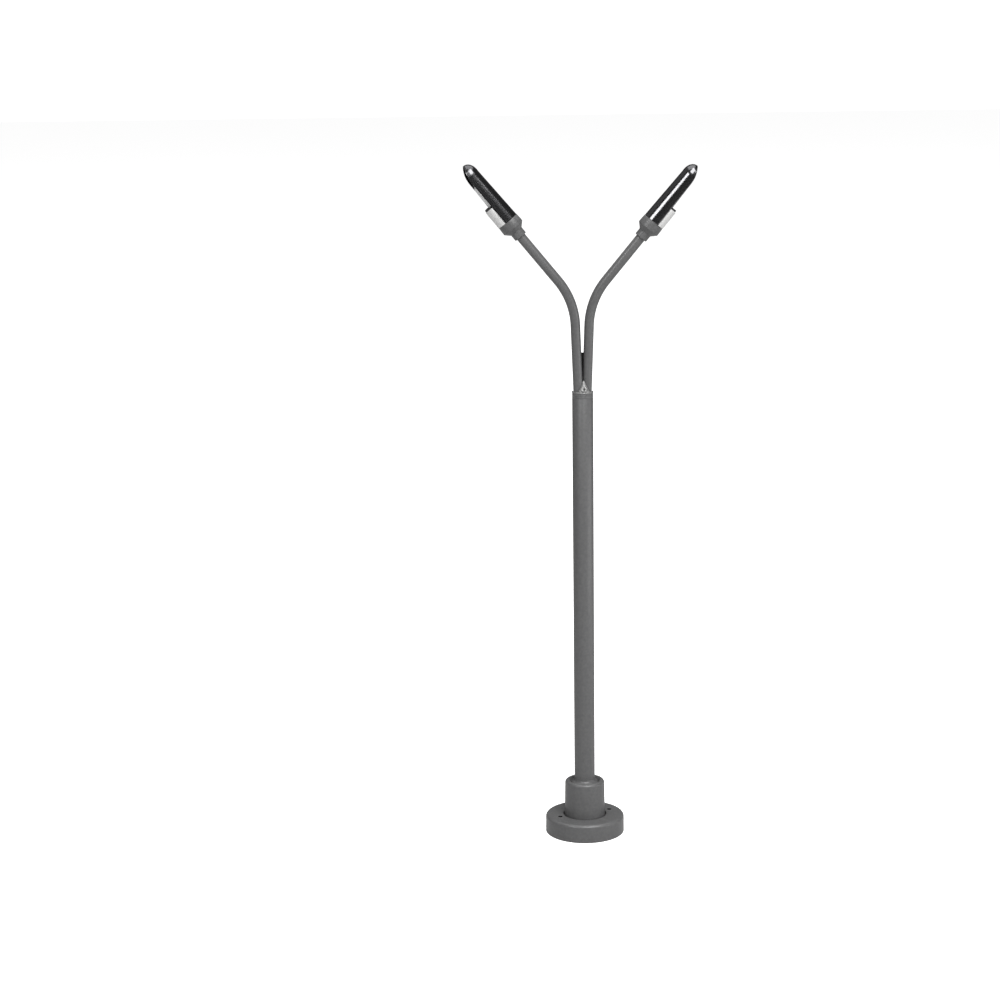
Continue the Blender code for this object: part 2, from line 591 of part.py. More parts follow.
def head(side):
    mouth, direction = head_place(side)
    frame = bpy.data.objects.new(f"{side}_head", None)
    bpy.context.scene.collection.objects.link(frame)
    top = Vector((-SIDE_SIGN[side] * math.sin(ARM_RISE), 0, math.cos(ARM_RISE)))
    axes = Matrix((direction, top.cross(direction), top)).transposed()
    turned_axes = axes @ Matrix.Rotation(HEAD_ROLL[side], 3, "X")
    frame.matrix_world = Matrix.Translation(mouth) @ turned_axes.to_4x4()

    def add_turned(name, outline, sides, material):
        piece = add_piece(f"{side}_{name}", turned(outline, sides), material, frame)
        piece.rotation_euler = (0, math.pi / 2, 0)
        return piece

    socket_outline = [
        (mouth_radius, 0),
        (socket_radius, -SOCKET_SWELL),
        (socket_radius, -SOCKET_LENGTH),
        (neck_radius + CONE_BREAK[0], CONE_BREAK[1] - cone_end),
        (neck_radius, -cone_end),
        (neck_radius, NECK_CHAMFER - neck_end),
        (neck_radius - NECK_CHAMFER, -neck_end),
        (neck_bore, -neck_end),
        (neck_bore, -neck_bore_end),
        (PASSAGE_RADIUS, -neck_bore_end),
        (PASSAGE_RADIUS, -CAVITY_DEPTH),
        (cavity_radius, -CAVITY_DEPTH),
        (cavity_radius, 0),
    ]
    add_turned("socket", socket_outline, SOCKET_SIDES, GREY_PAINT)
    carrier_back = FIT - CAVITY_DEPTH
    carrier_front = carrier_back + CARRIER_LENGTH
    carrier = tube_outline(SLEEVE_RADIUS + FIT, cavity_radius - FIT, carrier_back, carrier_front)
    add_turned("contact_carrier", carrier, LAMP_SIDES, BLACK_PLASTIC)
    sleeve = tube_outline(LAMP_PIN_RADIUS + FIT, SLEEVE_RADIUS, carrier_back, carrier_front)
    add_turned("centre_sleeve", sleeve, PIN_SIDES, BRASS)

    add_piece(f"{side}_shade", shade(), BLACK_CHROME, frame)

    holder = add_piece(
        f"{side}_bulb_holder",
        loft([holder_section(FIT, 0), holder_section(HOLDER_LENGTH, 0)]),
        WHITE_PLASTIC,
        frame,
    )
    bulb_back = HOLDER_LENGTH - HOLDER_BORE_DEPTH
    across = Matrix.Rotation(math.pi / 2, 4, "Y")
    tail = turned(rod_outline(holder_tail_radius, -HOLDER_TAIL_LENGTH, bulb_back / 2), LAMP_SIDES)
    bore = turned(rod_outline(BULB_RADIUS + FIT, bulb_back, 2 * HOLDER_LENGTH), LAMP_SIDES)
    pin_bore = turned(rod_outline(LAMP_PIN_RADIUS + FIT, -HOLDER_LENGTH, LAMP_PIN_SEAT + FIT), PIN_SIDES)
    for shape, name, operation in (
        (tail, "tail", "UNION"),
        (bore, "bulb_bore", "DIFFERENCE"),
        (pin_bore, "pin_bore", "DIFFERENCE"),
    ):
        bmesh.ops.transform(shape, matrix=across, verts=shape.verts)
        cut_from(holder, shape, f"{side}_holder_{name}", operation)

    washer_back = HOLDER_LENGTH + FIT
    washer_front = washer_back + WASHER_THICKNESS
    washer = add_piece(
        f"{side}_washer",
        loft([holder_section(washer_back, WASHER_INSET), holder_section(washer_front, WASHER_INSET)]),
        BLACK_PLASTIC,
        frame,
    )
    washer_hole = turned(rod_outline(BULB_RADIUS + FIT, 0, 2 * HOLDER_LENGTH), LAMP_SIDES)
    bmesh.ops.transform(washer_hole, matrix=across, verts=washer_hole.verts)
    cut_from(washer, washer_hole, f"{side}_washer_hole")

    glass_back = bulb_back + FIT
    glass_tip = glass_back + BULB_LENGTH
    tip_centre = glass_tip - bulb_tip_radius
    inside_tip = bulb_tip_radius - BULB_WALL
    outside = arc((0, tip_centre), bulb_tip_radius, 0, math.pi / 2, BULB_TIP_STEPS)
    inside = arc((0, tip_centre), inside_tip, 0, math.pi / 2, BULB_TIP_STEPS)
    outside[-1] = (0, glass_tip)
    inside[-1] = (0, glass_tip - BULB_WALL)
    back_corners = [(BULB_RADIUS - BULB_WALL, glass_back), (BULB_RADIUS, glass_back)]
    bulb_outline = [*inside[::-1], *back_corners, *outside]
    add_turned("bulb_glass", bulb_outline, LAMP_SIDES, GLASS)

    half = FILAMENT_SPAN / 2
    arch = [math.pi * i / ARCH_STEPS for i in range(ARCH_STEPS + 1)]
    arch_centre = glass_back + FILAMENT_LENGTH - half
    filament_line = [Vector((glass_back + FIT, half, 0))]
    filament_line += [Vector((arch_centre + half * math.sin(a), half * math.cos(a), 0)) for a in arch]
    filament_line.append(Vector((glass_back + FIT, -half, 0)))
    add_piece(f"{side}_filament", wire(filament_line, FILAMENT_RADIUS, FILAMENT_SIDES), TUNGSTEN, frame)

    add_turned("lamp_pin", rod_outline(LAMP_PIN_RADIUS, -LAMP_PIN_REACH, LAMP_PIN_SEAT), PIN_SIDES, BRASS)
    clip_height = -holder_tail_radius - FIT - CLIP_THICKNESS / 2
    clip_centre = (-HOLDER_TAIL_LENGTH / 2, 0, clip_height)
    clip = box((CLIP_LENGTH, CLIP_WIDTH, CLIP_THICKNESS), clip_centre)
    add_piece(f"{side}_return_clip", clip, BRASS, frame)


for side in SIDE_SIGN:
    head(side)
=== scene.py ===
"""Model street lamp with two whip arms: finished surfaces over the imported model, in studio light."""

import json
import math

import bmesh
import bpy
from mathutils import Matrix, Vector


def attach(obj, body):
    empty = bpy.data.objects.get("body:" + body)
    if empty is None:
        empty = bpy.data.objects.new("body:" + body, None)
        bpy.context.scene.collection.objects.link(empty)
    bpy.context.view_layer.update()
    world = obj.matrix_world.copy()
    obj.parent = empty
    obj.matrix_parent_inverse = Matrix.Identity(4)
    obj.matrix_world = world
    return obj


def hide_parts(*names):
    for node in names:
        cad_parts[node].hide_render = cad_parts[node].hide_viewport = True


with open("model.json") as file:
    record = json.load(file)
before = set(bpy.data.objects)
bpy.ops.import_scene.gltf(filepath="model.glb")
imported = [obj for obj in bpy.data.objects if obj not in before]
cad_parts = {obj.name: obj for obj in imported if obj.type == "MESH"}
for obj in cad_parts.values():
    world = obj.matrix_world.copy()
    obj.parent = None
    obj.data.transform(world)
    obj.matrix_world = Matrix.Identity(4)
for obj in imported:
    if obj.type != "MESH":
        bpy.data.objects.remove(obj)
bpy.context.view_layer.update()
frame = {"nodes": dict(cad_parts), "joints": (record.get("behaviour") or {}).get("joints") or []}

# ---------------------------------------------------------------- foot flange
# The flange is a disc turned from bar and sprayed grey, with soft edges and a flat seat for the collar.
# Two fixing holes go through it, their walls and edge chamfers painted near-black as painted shade.
# It stands on the layout board and everything else stands in it.

MM = 0.001
FLANGE_RADIUS = 6.7 * MM
FLANGE_THICKNESS = 3.1 * MM
FLANGE_EDGE_ROUND = 0.5 * MM
FLANGE_FOOT_ROUND = 0.14 * MM
SEAT_RADIUS = 3.66 * MM
SEAT_DEPTH = 0.6 * MM
RING_SEAT_RADIUS = 2.63 * MM
PLATE_SEAT_RADIUS = 3.53 * MM
PLATE_SEAT_HEIGHT = 0.63 * MM
FIXING_HOLE_RADIUS = 0.32 * MM
FIXING_CIRCLE_RADIUS = 4.6 * MM
FIXING_TURN = math.radians(22)
FIXING_SIDES = 40
FIXING_HOLES = 2
FLANGE_SIDES = 160
EDGE_STEPS = 8
EDGE_EASE = 0.04 * MM
BURR_DEPTH = 1.5 * EDGE_EASE
BURR_FLARE = 2.5 * EDGE_EASE
LEVEL_FACE = 0.9
MERGE_DISTANCE = 0.0005 * MM
SHARP_ANGLE = math.radians(38)


def rounded(corners, steps=EDGE_STEPS):
    """A closed outline of (radius, height), each corner eased by the third number given with it."""
    outline = []
    for i, (radius, height, ease) in enumerate(corners):
        here = Vector((radius, height))
        if not ease:
            outline.append((radius, height))
            continue
        back = (Vector(corners[i - 1][:2]) - here).normalized()
        onward = (Vector(corners[(i + 1) % len(corners)][:2]) - here).normalized()
        half = back.angle(onward) / 2
        centre = here + (back + onward).normalized() * ease / math.sin(half)
        first = here + back * ease / math.tan(half) - centre
        last = here + onward * ease / math.tan(half) - centre
        for step in range(steps + 1):
            spoke = first.lerp(last, step / steps).normalized() * ease
            outline.append(tuple(centre + spoke))
    return outline


def turn(outline, sides):
    """Spins a closed outline of (radius, height) round Z, as on a lathe."""
    shape = bmesh.new()
    points = [shape.verts.new((radius, 0, height)) for radius, height in outline]
    edges = []
    for near, far in zip(points, points[1:] + points[:1]):
        if near.co.x > 0 or far.co.x > 0:
            edges.append(shape.edges.new((near, far)))
    bmesh.ops.spin(
        shape, geom=edges, axis=(0, 0, 1), cent=(0, 0, 0), angle=math.tau, steps=sides, use_merge=True
    )
    bmesh.ops.remove_doubles(shape, verts=shape.verts, dist=MERGE_DISTANCE)
    bmesh.ops.recalc_face_normals(shape, faces=shape.faces)
    return shape


def make_piece(name, shape, finish, place=None):
    """Links a finished shape as one object at the origin, with its place in its mesh."""
    mesh = bpy.data.meshes.new(name)
    if place:
        shape.transform(place)
    shape.to_mesh(mesh)
    shape.free()
    mesh.materials.append(finish)
    piece = bpy.data.objects.new(name, mesh)
    bpy.context.scene.collection.objects.link(piece)
    smooth(piece)
    return piece


def smooth(piece):
    """Shades a piece smooth but for its edges."""
    piece.data.shade_smooth()
    piece.data.set_sharp_from_angle(angle=SHARP_ANGLE)


def settle(piece):
    """Makes the modifiers' result the piece's own mesh."""
    graph = bpy.context.evaluated_depsgraph_get()
    made = bpy.data.meshes.new_from_object(piece.evaluated_get(graph), depsgraph=graph)
    piece.modifiers.clear()
    piece.data = made
    smooth(piece)


def cut(piece, shape, operation="DIFFERENCE"):
    """Takes a shape out of a piece, or joins it on."""
    mesh = bpy.data.meshes.new("cutter")
    shape.to_mesh(mesh)
    shape.free()
    cutter = bpy.data.objects.new("cutter", mesh)
    bpy.context.scene.collection.objects.link(cutter)
    modifier = piece.modifiers.new("cut", "BOOLEAN")
    modifier.operation = operation
    modifier.solver = "EXACT"
    modifier.object = cutter
    settle(piece)
    bpy.data.objects.remove(cutter)


def node(tree, kind, settings=None, **sockets):
    """Adds a shader node. A socket is given a value, or another node's output to be linked to."""
    made = tree.nodes.new(kind)
    for key, value in (settings or {}).items():
        setattr(made, key, value)
    for key, value in sockets.items():
        socket = made.inputs[int(key[1:])] if key[0] == "i" and key[1:].isdigit() else made.inputs[key]
        if isinstance(value, bpy.types.NodeSocket):
            tree.links.new(value, socket)
        else:
            socket.default_value = value
    return made


def effect(name, inputs, outputs):
    """Starts a node group for an effect that several finishes share."""
    tree = bpy.data.node_groups.new(name, "ShaderNodeTree")
    for label, value in inputs.items():
        tree.interface.new_socket(label, in_out="INPUT", socket_type="NodeSocketFloat").default_value = value
    for label in outputs:
        tree.interface.new_socket(label, in_out="OUTPUT", socket_type="NodeSocketFloat")
    return tree, tree.nodes.new("NodeGroupInput"), tree.nodes.new("NodeGroupOutput")


# Mottle: the soft clouds and the fine grain that any sprayed, plated or moulded surface shows.
mottle, given, result = effect(
    "mottle", {"Clouds per metre": 2200, "Grains per metre": 14000}, ["Clouds", "Grain"]
)
place = node(mottle, "ShaderNodeTexCoord").outputs["Object"]
clouds = node(
    mottle,
    "ShaderNodeTexNoise",
    Vector=place,
    Scale=given.outputs["Clouds per metre"],
    Detail=3.0,
    Roughness=0.55,
)
grain = node(
    mottle,
    "ShaderNodeTexNoise",
    Vector=place,
    Scale=given.outputs["Grains per metre"],
    Detail=2.0,
    Roughness=0.6,
)
for texture, label in ((clouds, "Clouds"), (grain, "Grain")):
    spread = node(mottle, "ShaderNodeMapRange", Value=texture.outputs["Fac"])
    spread.inputs["From Min"].default_value = 0.3
    spread.inputs["From Max"].default_value = 0.7
    mottle.links.new(spread.outputs["Result"], result.inputs[label])

# Edge sheen: a thin, broken painted highlight, a paler line laid along outer edges where light catches them.
painted_edge_sheen, given, result = effect("painted_edge_sheen", {"Sharpness": 0.53, "Breaks per metre": 5000}, ["Edge sheen"])
point = node(painted_edge_sheen, "ShaderNodeNewGeometry").outputs["Pointiness"]
edges = node(painted_edge_sheen, "ShaderNodeMapRange", Value=point)
painted_edge_sheen.links.new(given.outputs["Sharpness"], edges.inputs["From Min"])
edges.inputs["From Max"].default_value = 0.62
place = node(painted_edge_sheen, "ShaderNodeTexCoord").outputs["Object"]
breaks = node(
    painted_edge_sheen, "ShaderNodeTexNoise", Vector=place, Scale=given.outputs["Breaks per metre"], Detail=3.0
)
sheen_line = node(
    painted_edge_sheen,
    "ShaderNodeMath",
    {"operation": "MULTIPLY", "use_clamp": True},
    i0=edges.outputs["Result"],
    i1=breaks.outputs["Fac"],
)
painted_edge_sheen.links.new(sheen_line.outputs[0], result.inputs["Edge sheen"])

# Dust: a faint paler film on the faces that look up.
dust, given, result = effect("dust", {"Specks per metre": 3000}, ["Dust"])
facing = node(dust, "ShaderNodeSeparateXYZ", i0=node(dust, "ShaderNodeNewGeometry").outputs["Normal"])
upward = node(dust, "ShaderNodeMapRange", Value=facing.outputs["Z"])
upward.inputs["From Min"].default_value = 0.5
place = node(dust, "ShaderNodeTexCoord").outputs["Object"]
specks = node(dust, "ShaderNodeTexNoise", Vector=place, Scale=given.outputs["Specks per metre"], Detail=4.0)
film = node(
    dust,
    "ShaderNodeMath",
    {"operation": "MULTIPLY", "use_clamp": True},
    i0=upward.outputs["Result"],
    i1=specks.outputs["Fac"],
)
dust.links.new(film.outputs[0], result.inputs["Dust"])


def place_effect(tree, group, **values):
    """Puts a shared effect into a finish, with that finish's own values."""
    made = tree.nodes.new("ShaderNodeGroup")
    made.node_tree = group
    for label, value in values.items():
        made.inputs[label.replace("_", " ")].default_value = value
    return made


# The colour sockets of a Mix node, which share their names with its number sockets.
MIX_UNDER = 6
MIX_OVER = 7
MIX_RESULT = 2


def varied(tree, factor, low, high):
    """A value or colour that follows a mask from low to high."""
    if isinstance(low, tuple):
        made = node(tree, "ShaderNodeMix", {"data_type": "RGBA"}, i0=factor)
        made.inputs[MIX_UNDER].default_value = (*low, 1)
        made.inputs[MIX_OVER].default_value = (*high, 1)
        return made.outputs[MIX_RESULT]
    made = node(tree, "ShaderNodeMapRange", Value=factor)
    made.inputs["To Min"].default_value = low
    made.inputs["To Max"].default_value = high
    return made.outputs["Result"]


def layered(tree, factor, share, under, over):
    """A colour laid over another where a mask says, at a share of its strength."""
    strength = node(tree, "ShaderNodeMath", {"operation": "MULTIPLY"}, i0=factor, i1=share)
    made = node(tree, "ShaderNodeMix", {"data_type": "RGBA"}, i0=strength.outputs[0])
    tree.links.new(under, made.inputs[MIX_UNDER])
    made.inputs[MIX_OVER].default_value = (*over, 1)
    return made.outputs[MIX_RESULT]


GRAIN_HEIGHT = 0.01 * MM


def finish_of(
    name,
    colours,
    roughness,
    bump,
    clouds=2200,
    grains=14000,
    metallic=0.0,
    sheen_layer=None,
    dusty=None,
    **sockets,
):
    """A finish whose colour follows the clouds and whose gloss and surface follow the grain.

    Two optional layers, each a share and a colour, are laid over it: a painted highlight along outer edges,
    and dust.
    """
    finish = bpy.data.materials.new(name)
    finish.use_nodes = True
    tree = finish.node_tree
    principled = tree.nodes["Principled BSDF"]
    for label, value in sockets.items():
        principled.inputs[label.replace("_", " ")].default_value = value
    principled.inputs["Metallic"].default_value = metallic
    spots = place_effect(tree, mottle, Clouds_per_metre=clouds, Grains_per_metre=grains)
    colour = varied(tree, spots.outputs["Clouds"], *colours)
    # Lays the painted edge highlight and the dust over the colour.
    for group, mask, layer in ((painted_edge_sheen, "Edge sheen", sheen_layer), (dust, "Dust", dusty)):
        if layer:
            share, over = layer
            colour = layered(tree, place_effect(tree, group).outputs[mask], share, colour, over)
    tree.links.new(colour, principled.inputs["Base Color"])
    tree.links.new(varied(tree, spots.outputs["Grain"], *roughness), principled.inputs["Roughness"])
    relief = node(
        tree, "ShaderNodeBump", Height=spots.outputs["Grain"], Strength=bump, Distance=GRAIN_HEIGHT
    )
    tree.links.new(relief.outputs["Normal"], principled.inputs["Normal"])
    return finish


# The grey paint carries a painted highlight along its outer edges, and a little dust on its upward faces.
grey_paint = finish_of(
    "grey_paint",
    colours=((0.074, 0.074, 0.075), (0.092, 0.092, 0.093)),
    roughness=(0.3, 0.42),
    bump=0.25,
    sheen_layer=(0.35, (0.18, 0.18, 0.18)),
    dusty=(0.12, (0.2, 0.2, 0.195)),
    Specular_IOR_Level=0.5,
)
# Painted shade: a near-black finish for the walls of holes and pits, standing in for the shade inside them.
painted_hole_shade = finish_of(
    "painted_hole_shade",
    colours=((0.004, 0.004, 0.004), (0.01, 0.01, 0.01)),
    roughness=(0.6, 0.8),
    bump=0.3,
    Specular_IOR_Level=0.2,
)
seat_height = FLANGE_THICKNESS - SEAT_DEPTH
flange_outline = rounded(
    [
        (PLATE_SEAT_RADIUS, 0, EDGE_EASE),
        (FLANGE_RADIUS, 0, FLANGE_FOOT_ROUND),
        (FLANGE_RADIUS, FLANGE_THICKNESS, FLANGE_EDGE_ROUND),
        (SEAT_RADIUS, FLANGE_THICKNESS, 2 * EDGE_EASE),
        (SEAT_RADIUS, seat_height, EDGE_EASE),
        (RING_SEAT_RADIUS, seat_height, EDGE_EASE),
        (RING_SEAT_RADIUS, PLATE_SEAT_HEIGHT, EDGE_EASE),
        (PLATE_SEAT_RADIUS, PLATE_SEAT_HEIGHT, EDGE_EASE),
    ]
)
flange = make_piece("foot_flange", turn(flange_outline, FLANGE_SIDES), grey_paint)
flange.data.materials.append(painted_hole_shade)
hole_outline = [
    (0, -FLANGE_THICKNESS),
    (FIXING_HOLE_RADIUS, -FLANGE_THICKNESS),
    (FIXING_HOLE_RADIUS, FLANGE_THICKNESS - BURR_DEPTH),
    (FIXING_HOLE_RADIUS + BURR_FLARE, FLANGE_THICKNESS + EDGE_EASE),
    (0, FLANGE_THICKNESS + EDGE_EASE),
]
for hole in range(FIXING_HOLES):
    angle = FIXING_TURN + math.tau * hole / FIXING_HOLES
    centre = Vector((math.cos(angle), math.sin(angle), 0)) * FIXING_CIRCLE_RADIUS
    drill = turn(hole_outline, FIXING_SIDES)
    drill.transform(Matrix.Translation(centre))
    cut(flange, drill)
    # The hole's walls and chamfer take the near-black painted shade.
    for face in flange.data.polygons:
        from_hole = face.center.xy - centre.xy
        if from_hole.length < FIXING_HOLE_RADIUS + 2 * EDGE_EASE and abs(face.normal.z) < LEVEL_FACE:
            face.material_index = 1
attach(flange, "foot")
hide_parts("base_flange")

# ---------------------------------------------------------------- base plate and contacts
# A black insulating plate closes the foot from below and carries two brass solder tags. Above it stand the
# contact ring that the collar turns in and the sprung centre cup in its insulating bush.

brass = finish_of(
    "brass",
    colours=((0.62, 0.43, 0.17), (0.74, 0.54, 0.25)),
    roughness=(0.22, 0.42),
    bump=0.3,
    clouds=900,
    grains=9000,
    metallic=1.0,
)
black_plastic = finish_of(
    "black_plastic",
    colours=((0.012, 0.012, 0.012), (0.022, 0.022, 0.023)),
    roughness=(0.38, 0.55),
    bump=0.35,
    clouds=1500,
    grains=11000,
)


def refinish(names, finish):
    """Gives CAD pieces that keep their own shape a finish of this script's."""
    for name in names:
        slots = frame["nodes"][name].material_slots
        for i in range(len(slots)):
            slots[i].material = finish


refinish(["base_plate", "contact_bush"], black_plastic)
refinish(["live_solder_tag", "return_solder_tag", "contact_ring", "centre_contact"], brass)

# ---------------------------------------------------------------- foot collar
# The collar is turned too: a slightly drafted cup with a round shoulder, and a funnel in its top for the
# mast. Its spigot turns in the flange, and a brass liner inside grips the mast.

COLLAR_TOP_RADIUS = 3.36 * MM
COLLAR_BASE_RADIUS = 3.47 * MM
COLLAR_BOTTOM = 2.53 * MM
COLLAR_TOP = 9.18 * MM
COLLAR_SHOULDER_ROUND = 0.5 * MM
RECESS_RADIUS = 2.68 * MM
RECESS_FLOOR_RADIUS = 2.28 * MM
RECESS_FLOOR = 8.63 * MM
COLLAR_BORE = 2.03 * MM
SPIGOT_RADIUS = 2.3 * MM
SPIGOT_BORE = 1.3 * MM
SPIGOT_BOTTOM = 1.03 * MM
SPIGOT_FLOOR_TOP = 2.23 * MM
COLLAR_SIDES = 144

collar_outline = rounded(
    [
        (SPIGOT_BORE, SPIGOT_BOTTOM, EDGE_EASE),
        (SPIGOT_RADIUS, SPIGOT_BOTTOM, EDGE_EASE),
        (SPIGOT_RADIUS, COLLAR_BOTTOM, EDGE_EASE),
        (COLLAR_BASE_RADIUS, COLLAR_BOTTOM, EDGE_EASE),
        (COLLAR_TOP_RADIUS, COLLAR_TOP, COLLAR_SHOULDER_ROUND),
        (RECESS_RADIUS, COLLAR_TOP, 3 * EDGE_EASE),
        (RECESS_FLOOR_RADIUS, RECESS_FLOOR, EDGE_EASE),
        (COLLAR_BORE, RECESS_FLOOR, EDGE_EASE),
        (COLLAR_BORE, SPIGOT_FLOOR_TOP, EDGE_EASE),
        (SPIGOT_BORE, SPIGOT_FLOOR_TOP, EDGE_EASE),
    ]
)
collar = make_piece("foot_cup", turn(collar_outline, COLLAR_SIDES), grey_paint)
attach(collar, "collar")
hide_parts("foot_collar")
refinish(["collar_liner"], brass)

# ---------------------------------------------------------------- mast
# The mast is drawn brass tube, painted grey, with a flared ring soldered on where it stops in the collar.
# An insulator with the live pin plugs its foot, and the tool has left three fine lines below its mouth.

MAST_RADIUS = 1.75 * MM
MAST_BORE = 1.63 * MM
MAST_FOOT = 2.33 * MM
MAST_TOP = 76.23 * MM
RIM_EASE = 0.035 * MM
RING_RADIUS = 2.2 * MM
RING_BOTTOM = 8.66 * MM
RING_LIP = 0.25 * MM
RING_HEIGHT = 1.1 * MM
RING_GAP = 0.012 * MM
RING_BRIM = 0.02 * MM
RING_STEPS = 10
RING_SWEEP = 4
RIM_LINE_DEPTH = 0.03 * MM
RIM_LINE_HALF = 0.05 * MM
RIM_LINES = (0.92 * MM, 0.6 * MM, 0.28 * MM)
MAST_SIDES = 96
MAST_EASE_STEPS = 4

corners = [(MAST_BORE, MAST_FOOT, RIM_EASE), (MAST_RADIUS, MAST_FOOT, RIM_EASE)]
for below in RIM_LINES:
    for offset, depth in ((-RIM_LINE_HALF, 0), (0, RIM_LINE_DEPTH), (RIM_LINE_HALF, 0)):
        corners.append((MAST_RADIUS - depth, MAST_TOP - below + offset, 0))
corners += [(MAST_RADIUS, MAST_TOP, RIM_EASE), (MAST_BORE, MAST_TOP, RIM_EASE)]
mast_outline = rounded(corners, MAST_EASE_STEPS)
mast = make_piece("mast_column", turn(mast_outline, MAST_SIDES), grey_paint)
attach(mast, "mast")
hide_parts("mast_tube")

ring_inner = MAST_RADIUS + RING_GAP
ring_waist = ring_inner + RING_BRIM
ring_outline = [
    (ring_inner, RING_BOTTOM),
    (RING_RADIUS - EDGE_EASE, RING_BOTTOM),
    (RING_RADIUS, RING_BOTTOM + EDGE_EASE),
]
for step in range(RING_STEPS + 1):
    share = step / RING_STEPS
    radius = ring_waist + (RING_RADIUS - ring_waist) * (1 - share) ** RING_SWEEP
    ring_outline.append((radius, RING_BOTTOM + RING_LIP + (RING_HEIGHT - RING_LIP) * share))
ring_outline.append((ring_inner, RING_BOTTOM + RING_HEIGHT))
mast_ring = make_piece("mast_ring", turn(ring_outline, MAST_SIDES), grey_paint)
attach(mast_ring, "mast")
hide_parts("mast_ferrule")
refinish(["plug_insulator"], black_plastic)
refinish(["centre_pin"], brass)

# ---------------------------------------------------------------- arms and leads
# Two thin tubes stand side by side in the mast's mouth and whip outwards, each bent once to the same radius.
# An enamelled wire runs up inside each to its lamp.

ARM_RADIUS = 0.8 * MM
ARM_WALL = 0.2 * MM
ARM_SEAT = 8.0 * MM
ARM_PAIR_OFFSET = 0.81 * MM
ARM_PAIR_TURN = math.radians(24)
ARM_SPREAD = math.radians(2)
CORNER_ABOVE_MAST = 15.25 * MM
ARM_BEND_RADIUS = 12.2 * MM
ARM_SHORT_OF_MOUTH = 2.34 * MM
ARM_KNEE_MARGIN = 1.05
ARM_BEND_STEPS = 40
ARM_SIDES = 40
SIDE_SIGN = {"left": -1, "right": 1}

enamel = finish_of(
    "enamelled_wire",
    colours=((0.34, 0.07, 0.03), (0.46, 0.12, 0.05)),
    roughness=(0.25, 0.4),
    bump=0.1,
    clouds=1200,
    Coat_Weight=0.4,
)


def sweep_tree(name):
    """Eases the corners of a path of straight runs to a bend radius and sweeps a round section along it."""
    made = bpy.data.node_groups.new(name, "GeometryNodeTree")
    sides = made.interface
    sides.new_socket("Path", in_out="INPUT", socket_type="NodeSocketGeometry")
    for label, kind in (
        ("Bend Radius", "NodeSocketFloat"),
        ("Bend Steps", "NodeSocketInt"),
        ("Tube Radius", "NodeSocketFloat"),
        ("Round Sides", "NodeSocketInt"),
        ("Finish", "NodeSocketMaterial"),
    ):
        sides.new_socket(label, in_out="INPUT", socket_type=kind)
    sides.new_socket("Tube", in_out="OUTPUT", socket_type="NodeSocketGeometry")
    given = made.nodes.new("NodeGroupInput").outputs
    line = node(made, "GeometryNodeMeshToCurve", Mesh=given["Path"])
    eased = node(
        made,
        "GeometryNodeFilletCurve",
        {"mode": "POLY"},
        Curve=line.outputs[0],
        Count=given["Bend Steps"],
        Radius=given["Bend Radius"],
    )
    section = node(
        made,
        "GeometryNodeCurvePrimitiveCircle",
        Resolution=given["Round Sides"],
        Radius=given["Tube Radius"],
    )
    swept = node(made, "GeometryNodeCurveToMesh", Curve=eased.outputs[0])
    made.links.new(section.outputs[0], swept.inputs["Profile Curve"])
    real = node(made, "GeometryNodeRealizeInstances", i0=swept.outputs[0])
    painted = node(made, "GeometryNodeSetMaterial", Geometry=real.outputs[0], Material=given["Finish"])
    made.links.new(painted.outputs[0], made.nodes.new("NodeGroupOutput").inputs[0])
    return made


def grow(name, path, tree, values, finish):
    """Runs a geometry tree on a path of points and keeps the result as a plain mesh."""
    mesh = bpy.data.meshes.new(name)
    mesh.from_pydata(path, [(i, i + 1) for i in range(len(path) - 1)], [])
    piece = bpy.data.objects.new(name, mesh)
    bpy.context.scene.collection.objects.link(piece)
    modifier = piece.modifiers.new(name, "NODES")
    modifier.node_group = tree
    for item in tree.interface.items_tree:
        if item.in_out == "INPUT" and item.name in values:
            modifier[item.identifier] = values[item.name]
        elif item.in_out == "INPUT" and item.name == "Finish":
            modifier[item.identifier] = finish
    settle(piece)
    return piece


def close_wall(piece, wall):
    """Turns an open skin into a tube with a wall of real thickness, inwards, and closed rims."""
    shape = bmesh.new()
    shape.from_mesh(piece.data)
    bmesh.ops.recalc_face_normals(shape, faces=shape.faces)
    shape.to_mesh(piece.data)
    shape.free()
    shell = piece.modifiers.new("wall", "SOLIDIFY")
    shell.thickness = wall
    shell.offset = -1
    settle(piece)


def head_line(side):
    """The centre of a socket's mouth and the direction of its lamp, from that head's joint."""
    joint = next(j for j in frame["joints"] if j["name"] == f"{side}_head_turn")
    return Vector(joint["pos_m"]), Vector(joint["axis"]).normalized()


